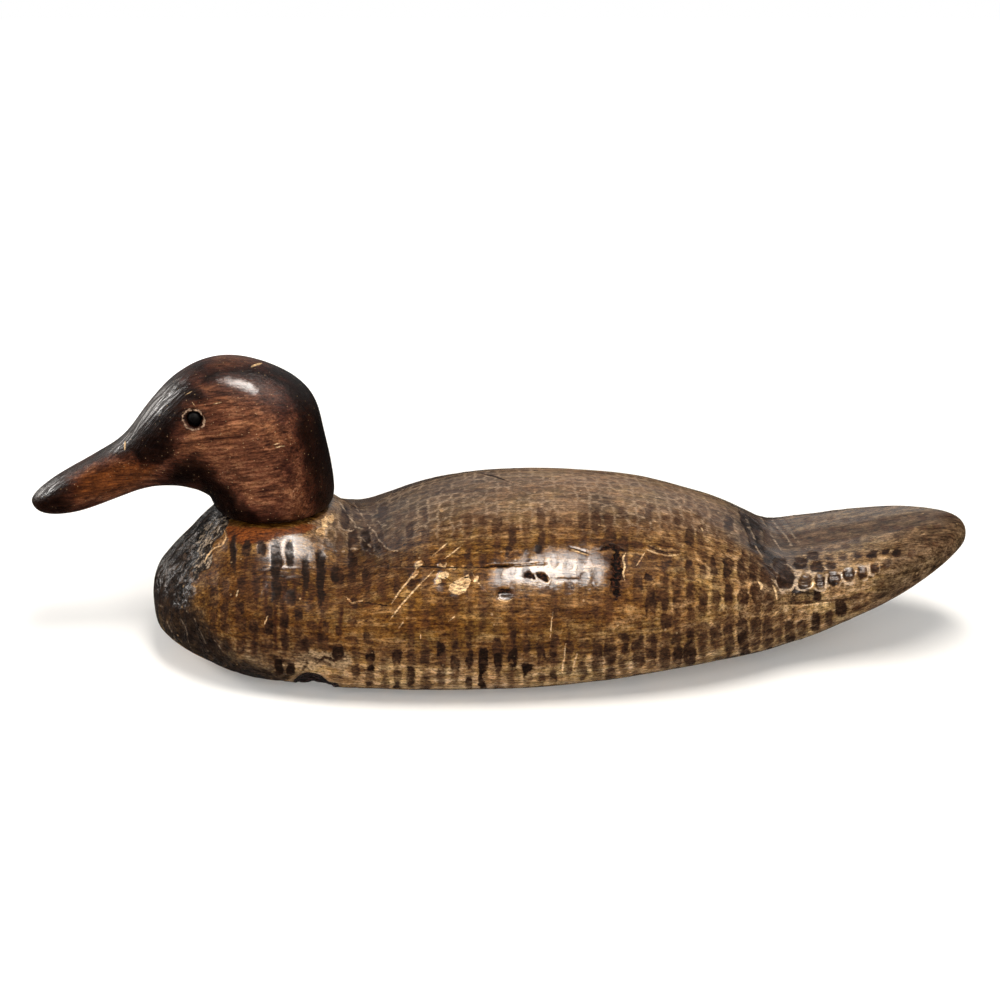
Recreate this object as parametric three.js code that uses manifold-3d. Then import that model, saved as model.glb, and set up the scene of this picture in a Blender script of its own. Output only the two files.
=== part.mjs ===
// A carved wooden duck decoy: a solid body with a paddle tail, a separate head let into a
// seat on the breast, and two round black bead eyes. Millimetres, +Z up, bill towards -X,
// origin under the middle of the decoy on the surface that it rests on.
import * as THREE from "three";
import { mergeVertices } from "three/addons/utils/BufferGeometryUtils.js";
import Module from "manifold-3d";

// Driving dimensions. The station tables below are in these same real millimetres.
const bodyRings = 54;
const bodyRingPoints = 52;
const headRings = 40;
const headRingPoints = 36;
const undersideCut = 1.12; // how much deeper the rounded belly would go before it is planed flat
const levelBelow = 0.45; // any keel lower than this is planed level with the surface it stands on

// The body, from breast to tail tip. top and keel are the heights of the centre line above and
// below, half is half the greatest width, widest is the height where that width lies, and crown
// and chine are how square the section is above and below it (2 is an ellipse).
const bodyStations = [
  { x: -147.6, top: 24.0, keel: 24.0, half: 0.0, widest: 24.0, crown: 2.0, chine: 2.0 },
  { x: -146.6, top: 31.0, keel: 15.5, half: 10.0, widest: 22.5, crown: 2.0, chine: 2.2 },
  { x: -143.4, top: 36.5, keel: 10.2, half: 21.5, widest: 22.0, crown: 2.0, chine: 2.6 },
  { x: -137.5, top: 42.6, keel: 8.6, half: 32.0, widest: 23.0, crown: 2.0, chine: 2.8 },
  { x: -129.0, top: 49.4, keel: 6.4, half: 41.6, widest: 25.0, crown: 2.0, chine: 2.9 },
  { x: -117.5, top: 54.4, keel: 3.4, half: 49.7, widest: 27.0, crown: 2.0, chine: 3.0 },
  { x: -103.0, top: 56.4, keel: 0.8, half: 57.2, widest: 29.0, crown: 2.3, chine: 3.2 },
  { x: -86.0, top: 54.5, keel: 0.0, half: 62.3, widest: 30.5, crown: 2.3, chine: 3.2 },
  { x: -66.0, top: 48.6, keel: 0.0, half: 65.8, widest: 31.5, crown: 2.0, chine: 3.5 },
  { x: -50.0, top: 55.0, keel: 0.0, half: 67.8, widest: 32.0, crown: 2.0, chine: 3.5 },
  { x: -34.0, top: 62.2, keel: 0.0, half: 68.8, widest: 32.0, crown: 2.0, chine: 3.5 },
  { x: -13.0, top: 67.2, keel: 0.0, half: 69.2, widest: 32.0, crown: 2.0, chine: 3.4 },
  { x: 12.0, top: 69.3, keel: 0.0, half: 68.5, widest: 32.0, crown: 2.0, chine: 3.3 },
  { x: 38.0, top: 68.6, keel: 1.5, half: 66.2, widest: 32.5, crown: 2.0, chine: 3.2 },
  { x: 62.0, top: 65.4, keel: 3.8, half: 62.4, widest: 33.0, crown: 2.1, chine: 3.1 },
  { x: 82.0, top: 59.4, keel: 5.6, half: 57.3, widest: 33.5, crown: 2.2, chine: 3.0 },
  { x: 98.0, top: 53.6, keel: 6.2, half: 50.8, widest: 33.8, crown: 2.4, chine: 3.0 },
  { x: 109.0, top: 47.6, keel: 6.8, half: 45.1, widest: 34.2, crown: 2.6, chine: 3.0 },
  { x: 119.0, top: 42.6, keel: 8.0, half: 40.4, widest: 34.8, crown: 2.9, chine: 2.9 },
  { x: 131.0, top: 44.2, keel: 10.8, half: 37.3, widest: 37.0, crown: 3.1, chine: 2.8 },
  { x: 145.0, top: 47.2, keel: 16.4, half: 34.4, widest: 40.0, crown: 3.1, chine: 2.7 },
  { x: 160.0, top: 50.2, keel: 23.2, half: 31.4, widest: 43.0, crown: 3.0, chine: 2.6 },
  { x: 174.0, top: 53.2, keel: 31.0, half: 26.2, widest: 45.6, crown: 2.8, chine: 2.5 },
  { x: 185.0, top: 54.8, keel: 38.0, half: 19.1, widest: 47.4, crown: 2.5, chine: 2.4 },
  { x: 192.5, top: 54.4, keel: 43.2, half: 11.7, widest: 48.0, crown: 2.2, chine: 2.2 },
  { x: 195.7, top: 52.0, keel: 46.0, half: 5.4, widest: 48.4, crown: 2.0, chine: 2.0 },
  { x: 196.6, top: 48.6, keel: 48.6, half: 0.0, widest: 48.6, crown: 2.0, chine: 2.0 },
];

// The raised seat that carries the neck: a flat oval at one height whose shoulders roll down
// into the body. length and width are those of the flat, and shoulder is the reach of the roll
// as a share of them.
const neckSeat = { x: -93.4, height: 61.2, halfLength: 25.2, halfWidth: 27.6, shoulder: 0.7 };

// The head, from the flat sole of the neck round the throat and out to the bill tip. Each ring
// runs across the duck through an outer point (nape, crown, top of bill) and an inner point
// (throat, underside of bill), and half is half its width.
const headStations = [
  { outer: [-94.5, 61.5], inner: [-94.7, 61.5], half: 0.0, square: 2.0 },
  { outer: [-72.6, 61.5], inner: [-116.0, 61.5], half: 24.2, square: 2.1 },
  { outer: [-70.2, 62.7], inner: [-118.9, 62.5], half: 26.8, square: 2.1 },
  { outer: [-69.4, 66.2], inner: [-120.3, 65.0], half: 27.6, square: 2.1 },
  { outer: [-69.9, 74.0], inner: [-120.9, 66.8], half: 27.6, square: 2.1 },
  { outer: [-71.3, 84.0], inner: [-122.0, 67.9], half: 27.0, square: 2.1 },
  { outer: [-73.1, 94.0], inner: [-123.8, 68.3], half: 26.4, square: 2.1 },
  { outer: [-75.2, 104.4], inner: [-125.4, 68.7], half: 25.8, square: 2.1 },
  { outer: [-80.6, 112.7], inner: [-127.2, 69.0], half: 25.0, square: 2.1 },
  { outer: [-89.2, 118.7], inner: [-129.0, 69.2], half: 24.2, square: 2.1 },
  { outer: [-100.3, 123.0], inner: [-130.8, 69.4], half: 23.4, square: 2.1 },
  { outer: [-112.0, 124.4], inner: [-132.7, 69.6], half: 22.5, square: 2.1 },
  { outer: [-123.2, 122.0], inner: [-134.7, 69.7], half: 21.3, square: 2.1 },
  { outer: [-133.3, 115.8], inner: [-137.2, 69.7], half: 19.6, square: 2.1 },
  { outer: [-141.4, 108.0], inner: [-140.6, 69.5], half: 17.6, square: 2.1 },
  { outer: [-148.0, 99.8], inner: [-145.2, 68.9], half: 15.6, square: 2.1 },
  { outer: [-154.0, 92.4], inner: [-150.8, 67.5], half: 14.0, square: 2.2 },
  { outer: [-160.8, 86.8], inner: [-157.4, 65.1], half: 13.2, square: 2.3 },
  { outer: [-168.8, 82.0], inner: [-165.4, 62.0], half: 13.0, square: 2.4 },
  { outer: [-177.0, 77.4], inner: [-174.0, 59.0], half: 13.2, square: 2.4 },
  { outer: [-184.8, 73.0], inner: [-182.4, 57.3], half: 12.6, square: 2.3 },
  { outer: [-191.0, 68.8], inner: [-189.2, 57.4], half: 10.4, square: 2.2 },
  { outer: [-194.8, 65.4], inner: [-193.6, 59.3], half: 6.6, square: 2.1 },
  { outer: [-196.6, 62.2], inner: [-196.6, 62.2], half: 0.0, square: 2.0 },
];

// A bead eye on each side of the head, let into a drilled socket.
const eye = { x: -121.1, z: 104.2, beadRadius: 2.7, socketRadius: 3.0, socketFloor: 16.2, beadCentre: 19.3 };

// A chip knocked out of the lower edge on the left side, towards the breast.
const baseChip = { x: -75.5, y: -64, z: -6, halfLength: 12, halfDepth: 20, halfHeight: 20 };

const wasm = await Module();
wasm.setup();

// Smooth value of one column of a station table at a fractional station index (Catmull-Rom).
function smoothAt(values, index) {
  const last = values.length - 1;
  const i = Math.min(Math.floor(index), last - 1);
  const t = index - i;
  const [a, b, c, d] = [i - 1, i, i + 1, i + 2].map((k) => values[Math.max(0, Math.min(last, k))]);
  const bend = 2 * b + (c - a) * t + (2 * a - 5 * b + 4 * c - d) * t * t + (3 * b - a - 3 * c + d) * t ** 3;
  return bend / 2;
}

// Points of a rounded section: [across, up] with each from -1 to 1, anticlockwise.
function roundedSection(count, squareAbove, squareBelow) {
  const power = (v, square) => Math.sign(v) * Math.abs(v) ** (2 / square);
  return Array.from({ length: count }, (_, k) => {
    const angle = (2 * Math.PI * k) / count;
    const up = Math.sin(angle);
    const square = up >= 0 ? squareAbove : squareBelow;
    return [power(Math.cos(angle), square), power(up, square)];
  });
}

// A closed skin over rings of equal length, pinched to a point at the first and last ring.
function skinOver(rings) {
  const count = rings[1].length;
  const first = rings[0][0];
  const last = rings[rings.length - 1][0];
  const inner = rings.slice(1, -1);
  const positions = [first, ...inner.flat(), last].flat();
  const triangles = [];
  const at = (ring, k) => 1 + ring * count + (k % count);
  for (let k = 0; k < count; k++) {
    triangles.push(0, at(0, k + 1), at(0, k));
    for (let ring = 0; ring < inner.length - 1; ring++) {
      triangles.push(at(ring, k), at(ring, k + 1), at(ring + 1, k + 1));
      triangles.push(at(ring, k), at(ring + 1, k + 1), at(ring + 1, k));
    }
    triangles.push(at(inner.length - 1, k), at(inner.length - 1, k + 1), 1 + inner.length * count);
  }
  const geometry = new THREE.BufferGeometry();
  geometry.setAttribute("position", new THREE.Float32BufferAttribute(positions, 3));
  geometry.setIndex(triangles);
  return geometry;
}

function solidOf(geometry) {
  const bare = geometry.clone();
  bare.deleteAttribute("normal");
  bare.deleteAttribute("uv");
  const merged = mergeVertices(bare, 1e-4);
  const solid = new wasm.Manifold(
    new wasm.Mesh({
      numProp: 3,
      vertProperties: new Float32Array(merged.attributes.position.array),
      triVerts: new Uint32Array(merged.index.array),
    }),
  );
  return solid;
}

function geometryOf(solid) {
  const mesh = solid.getMesh();
  const positions = new Float32Array(mesh.numVert * 3);
  for (let i = 0; i < mesh.numVert; i++) {
    positions.set(mesh.vertProperties.subarray(i * mesh.numProp, i * mesh.numProp + 3), i * 3);
  }
  const geometry = new THREE.BufferGeometry();
  geometry.setAttribute("position", new THREE.BufferAttribute(positions, 3));
  geometry.setIndex(new THREE.BufferAttribute(mesh.triVerts, 1));
  geometry.computeVertexNormals();
  return geometry;
}

// Height of the body's upper surface, raised to the neck seat under the head.
function seatedHeight(x, y, height) {
  const reach = Math.hypot((x - neckSeat.x) / neckSeat.halfLength, y / neckSeat.halfWidth);
  const t = Math.max(0, Math.min(1, (reach - 1) / neckSeat.shoulder));
  const share = (1 - t) ** 2;
  return height + (neckSeat.height - height) * share;
}

function bodyGeometry() {
  const column = (name, index) => smoothAt(bodyStations.map((s) => s[name]), index);
  const rings = [];
  for (let ring = 0; ring <= bodyRings; ring++) {
    const index = (ring / bodyRings) * (bodyStations.length - 1);
    const [x, top, keel, half, widest] = ["x", "top", "keel", "half", "widest"].map((n) => column(n, index));
    const flatKeel = keel < levelBelow ? 0 : keel;
    const section = roundedSection(bodyRingPoints, column("crown", index), column("chine", index));
    rings.push(
      section.map(([across, up]) => {
        const y = half * across;
        if (up >= 0) return [x, y, seatedHeight(x, y, widest + (top - widest) * up)];
        return [x, y, Math.max(flatKeel, widest + (widest - flatKeel) * undersideCut * up)];
      }),
    );
  }
  rings[0] = [[bodyStations[0].x, 0, bodyStations[0].top]];
  rings[bodyRings] = [[bodyStations.at(-1).x, 0, bodyStations.at(-1).top]];
  return skinOver(rings);
}

function headGeometry() {
  const column = (pick, index) => smoothAt(headStations.map(pick), index);
  const rings = [];
  for (let ring = 0; ring <= headRings; ring++) {
    const index = (1 - ring / headRings) * (headStations.length - 1);
    const outer = new THREE.Vector2(column((s) => s.outer[0], index), column((s) => s.outer[1], index));
    const inner = new THREE.Vector2(column((s) => s.inner[0], index), column((s) => s.inner[1], index));
    const centre = outer.clone().add(inner).multiplyScalar(0.5);
    const reach = outer.clone().sub(inner).multiplyScalar(0.5);
    const half = column((s) => s.half, index);
    const square = column((s) => s.square, index);
    rings.push(
      roundedSection(headRingPoints, square, square).map(([across, up]) => [
        centre.x + reach.x * up,
        half * across,
        centre.y + reach.y * up,
      ]),
    );
  }
  const tip = headStations.at(-1).outer;
  rings[0] = [[tip[0], 0, tip[1]]];
  rings[headRings] = [[neckSeat.x, 0, headStations[0].outer[1]]];
  return skinOver(rings);
}

function socketCutter(side) {
  const length = 20;
  const cutter = new THREE.CylinderGeometry(eye.socketRadius, eye.socketRadius, length, 20);
  cutter.translate(eye.x, side * (eye.socketFloor + length / 2), eye.z);
  return solidOf(cutter);
}

function eyeGeometry() {
  return new THREE.SphereGeometry(eye.beadRadius, 18, 12);
}

function chipCutter() {
  const lump = new THREE.IcosahedronGeometry(1, 2);
  lump.scale(baseChip.halfLength, baseChip.halfDepth, baseChip.halfHeight);
  lump.translate(baseChip.x, baseChip.y, baseChip.z);
  return solidOf(lump);
}

const bodyWood = new THREE.MeshStandardMaterial({ color: 0x6b4a26, roughness: 0.38, metalness: 0 });
const headWood = new THREE.MeshStandardMaterial({ color: 0x5a3420, roughness: 0.34, metalness: 0 });
const blackBead = new THREE.MeshStandardMaterial({ color: 0x0c0b0a, roughness: 0.12, metalness: 0 });

const decoy = new THREE.Group();

function addPiece(name, geometry, material) {
  const mesh = new THREE.Mesh(geometry, material);
  mesh.name = name;
  decoy.add(mesh);
  return mesh;
}

const bodySolid = solidOf(bodyGeometry()).subtract(chipCutter());
addPiece("body", geometryOf(bodySolid), bodyWood);

const headSolid = solidOf(headGeometry()).subtract(socketCutter(-1)).subtract(socketCutter(1));
addPiece("head", geometryOf(headSolid), headWood);

for (const [name, side] of [["eye_left", -1], ["eye_right", 1]]) {
  const bead = addPiece(name, eyeGeometry(), blackBead);
  bead.position.set(eye.x, side * eye.beadCentre, eye.z);
}

export default decoy;
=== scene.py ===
import math
from itertools import product

import bmesh
import bpy
import numpy as np
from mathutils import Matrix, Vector


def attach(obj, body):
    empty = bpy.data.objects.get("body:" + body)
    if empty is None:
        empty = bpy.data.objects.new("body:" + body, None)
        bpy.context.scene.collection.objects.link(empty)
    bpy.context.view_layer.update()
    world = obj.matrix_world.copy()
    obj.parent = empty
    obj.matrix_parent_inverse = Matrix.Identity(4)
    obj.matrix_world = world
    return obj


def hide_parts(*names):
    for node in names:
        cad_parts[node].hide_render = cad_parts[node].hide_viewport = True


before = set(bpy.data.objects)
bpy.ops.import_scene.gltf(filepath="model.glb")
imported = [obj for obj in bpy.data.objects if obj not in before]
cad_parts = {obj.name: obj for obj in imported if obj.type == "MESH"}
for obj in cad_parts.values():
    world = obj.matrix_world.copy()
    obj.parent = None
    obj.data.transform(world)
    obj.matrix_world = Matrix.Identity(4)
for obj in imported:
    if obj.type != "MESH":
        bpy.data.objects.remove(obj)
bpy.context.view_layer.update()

scene = bpy.context.scene
rng = np.random.default_rng(31)
mm = 1000  # millimetres in a metre

# The camera looks along +Y and slightly down. Marks on the decoy's left side are placed by
# picture points: the decoy as this camera frames it, 1000 across and 1000 down.
view = {"aim": (0.0, 0.0, 0.062), "distance": 0.6, "elevation": 21.0, "span": 0.42, "picture": 1000}

lift = math.radians(view["elevation"])
ahead = np.array([0.0, math.cos(lift), -math.sin(lift)])
upward = np.array([0.0, math.sin(lift), math.cos(lift)])
eyePoint = (np.array(view["aim"]) - ahead * view["distance"]) * mm


def picturePoints(points):
    away = points - eyePoint
    depth = away @ ahead
    reach = view["picture"] * view["distance"] / view["span"]
    middle = view["picture"] / 2
    return np.stack([middle + away[:, 0] / depth * reach, middle - (away @ upward) / depth * reach], 1)


# Small helpers for carving

outside = -50.0  # depth of a point that no mark is near


def softNoise(points, size, seed):
    # smooth bumps about `size` apart, from -1 to 1
    start, side = 400.0, 32  # where the points stand in the lattice, and its bumps before it repeats
    lattice = np.random.default_rng(seed).uniform(-1, 1, (side, side, side))
    scaled = points / np.array(size) + start
    cell = np.floor(scaled).astype(int)
    t = scaled - cell
    t = t * t * (3 - 2 * t)
    total = np.zeros(len(points))
    for dx, dy, dz in product((0, 1), repeat=3):
        share = np.abs(1 - dx - t[:, 0]) * np.abs(1 - dy - t[:, 1]) * np.abs(1 - dz - t[:, 2])
        x, y, z = ((cell + (dx, dy, dz)) % side).T
        total += share * lattice[x, y, z]
    return total


def wander(points, q, steps):
    # moves picture points about a little, so that no two marks are alike
    for size, reach, seed in steps:
        q = q + np.stack([softNoise(points, size, seed), softNoise(points, size, seed + 1)], 1) * reach
    return q


def ease(low, high, value):
    t = np.clip((value - low) / (high - low), 0, 1)
    return t * t * (3 - 2 * t)


def segmentDistance(q, a, b):
    a, b = np.array(a, float), np.array(b, float)
    d = b - a
    t = np.clip(((q - a) @ d) / max(d @ d, 1e-9), 0, 1)
    return np.hypot(*(q - a - t[:, None] * d).T), t


def lineDepth(q, line, halfWidth):
    # signed distance into a thin line that tapers to its ends, in picture points
    best = np.full(len(q), outside)
    steps = len(line) - 1
    for k in range(steps):
        distance, t = segmentDistance(q, line[k], line[k + 1])
        along = (k + t) / steps
        taper = np.minimum(1, 0.35 + 2.6 * np.minimum(along, 1 - along))
        best = np.maximum(best, halfWidth * taper - distance)
    return best


def patchDepth(q, outline):
    # signed distance into a closed patch, in picture points
    best = np.full(len(q), np.inf)
    inside = np.zeros(len(q), bool)
    for a, b in zip(outline, outline[1:] + outline[:1]):
        best = np.minimum(best, segmentDistance(q, a, b)[0])
        crosses = (a[1] > q[:, 1]) != (b[1] > q[:, 1])
        if a[1] != b[1]:
            inside ^= crosses & (q[:, 0] < a[0] + (q[:, 1] - a[1]) * (b[0] - a[0]) / (b[1] - a[1]))
    return np.where(inside, best, -best)


def softEdge(depth, width):
    # 0 outside a mark and 1 inside, over an edge of that width
    return np.clip(0.5 + depth / width, 0, 1)


def patchShare(q, outlines, width):
    return softEdge(np.max([patchDepth(q, outline) for outline in outlines], axis=0), width)


def ripples(points, steps):
    # what the tools left: bumps of each size, seed and height
    return sum(high * softNoise(points, size, seed) for size, seed, high in steps)


def dabDepth(q, dabs):
    # signed distance into the nearest dab, and that dab's tone and carved depth
    squareness, margin = 3.2, 8
    best = np.full(len(q), outside)
    tone, cut = np.zeros(len(q)), np.zeros(len(q))
    order = np.argsort(q[:, 0])
    across = q[order, 0]
    for x, y, halfWidth, halfHeight, strength, depth in dabs:
        first, last = np.searchsorted(across, [x - halfWidth - margin, x + halfWidth + margin])
        near = order[first:last]
        dx, dy = (q[near, 0] - x) / halfWidth, (q[near, 1] - y) / halfHeight
        ring = (np.abs(dx) ** squareness + np.abs(dy) ** squareness) ** (1 / squareness)
        signed = (1 - ring) * min(halfWidth, halfHeight)
        wins = signed > best[near]
        best[near[wins]] = signed[wins]
        tone[near[wins]], cut[near[wins]] = strength, depth
    return best, tone, cut


def meshArrays(mesh):
    points = np.empty(len(mesh.vertices) * 3)
    mesh.vertices.foreach_get("co", points)
    normals = np.empty(len(mesh.vertices) * 3)
    mesh.vertex_normals.foreach_get("vector", normals)
    return points.reshape(-1, 3) * mm, normals.reshape(-1, 3)


def clearSocket(bm, socket, side):
    # takes out the faces round an eye's socket, whose hole is then filled flat
    inner = []
    for face in bm.faces:
        middle = face.calc_center_median() * mm
        reach = math.hypot(middle.x - socket["x"], middle.z - socket["z"])
        if reach < socket["cleared"] and middle.y * side > 0:
            inner.append(face)
    bmesh.ops.delete(bm, geom=inner, context="FACES")


def blankFrom(nodeName, pieceName, grid, socket=None):
    # a smooth closed blank of even quads over the solid's own form
    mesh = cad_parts[nodeName].data.copy()
    mesh.name = pieceName
    mesh.materials.clear()
    bm = bmesh.new()
    bm.from_mesh(mesh)
    bmesh.ops.remove_doubles(bm, verts=bm.verts, dist=0.00001)
    for side in (-1, 1) if socket else ():
        clearSocket(bm, socket, side)
    bmesh.ops.holes_fill(bm, edges=[e for e in bm.edges if e.is_boundary], sides=0)
    bmesh.ops.join_triangles(bm, faces=bm.faces, angle_face_threshold=0.6, angle_shape_threshold=0.9)
    bm.to_mesh(mesh)
    bm.free()
    form = bpy.data.objects.new("form", mesh)
    blank = bpy.data.objects.new(pieceName, mesh)
    for o, level in ((form, 3), (blank, 2)):
        scene.collection.objects.link(o)
        rounding = o.modifiers.new("rounding", "SUBSURF")
        rounding.levels = rounding.render_levels = level
    even = blank.modifiers.new("even", "REMESH")
    even.mode, even.voxel_size = "VOXEL", grid
    relax = blank.modifiers.new("relax", "SMOOTH")
    relax.factor, relax.iterations = 0.5, 5
    hug = blank.modifiers.new("hug", "SHRINKWRAP")
    hug.target, hug.wrap_method = form, "NEAREST_SURFACEPOINT"
    settle = blank.modifiers.new("settle", "SMOOTH")
    settle.factor, settle.iterations = 0.5, 2
    evaluated = blank.evaluated_get(bpy.context.evaluated_depsgraph_get())
    final = bpy.data.meshes.new_from_object(evaluated)
    blank.modifiers.clear()
    blank.data = final
    final.name = pieceName
    bpy.data.objects.remove(form)
    bpy.data.meshes.remove(mesh)
    print(pieceName, "blank:", len(final.polygons), "quads")
    return blank


def refineWhere(piece, detail, passes, budget):
    # splits the edges along which the carving or the finish changes too much to be straight
    mesh = piece.data
    bm = bmesh.new()
    bm.from_mesh(mesh)
    bmesh.ops.triangulate(bm, faces=bm.faces)
    bm.to_mesh(mesh)
    for shortest, tolerance in passes:
        points, normals = meshArrays(mesh)
        ends = np.empty(len(mesh.edges) * 2, int)
        mesh.edges.foreach_get("vertices", ends)
        a, b = ends.reshape(-1, 2).T
        values = detail(points, normals)
        middle = detail((points[a] + points[b]) / 2, normals[a] + normals[b])
        error = np.abs(middle - (values[a] + values[b]) / 2).max(1)
        error[np.linalg.norm(points[a] - points[b], axis=1) < shortest] = 0
        room = (budget - len(mesh.polygons)) // 2
        chosen = np.argsort(-error)[: max(room, 0)]
        chosen = chosen[error[chosen] > tolerance]
        if not len(chosen):
            continue
        bm.clear()
        bm.from_mesh(mesh)
        bm.edges.ensure_lookup_table()
        bmesh.ops.subdivide_edges(bm, edges=[bm.edges[i] for i in chosen], cuts=1, use_grid_fill=True)
        bmesh.ops.triangulate(bm, faces=[f for f in bm.faces if len(f.verts) > 3])
        bm.to_mesh(mesh)
    bm.free()


def setCarved(piece, carved, fields):
    # moves the points to their carved places, and keeps each field as an attribute for the finish
    mesh = piece.data
    mesh.vertices.foreach_set("co", (carved / mm).ravel())
    for name, values in fields.items():
        kind, slot = ("FLOAT", "value") if values.ndim == 1 else ("FLOAT_VECTOR", "vector")
        mesh.attributes.new(name, kind, "POINT").data.foreach_set(slot, values.astype(np.float32).ravel())
    mesh.shade_smooth()
    mesh.update()
    print(piece.name, "carved:", len(mesh.polygons), "triangles")


# The body

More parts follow.
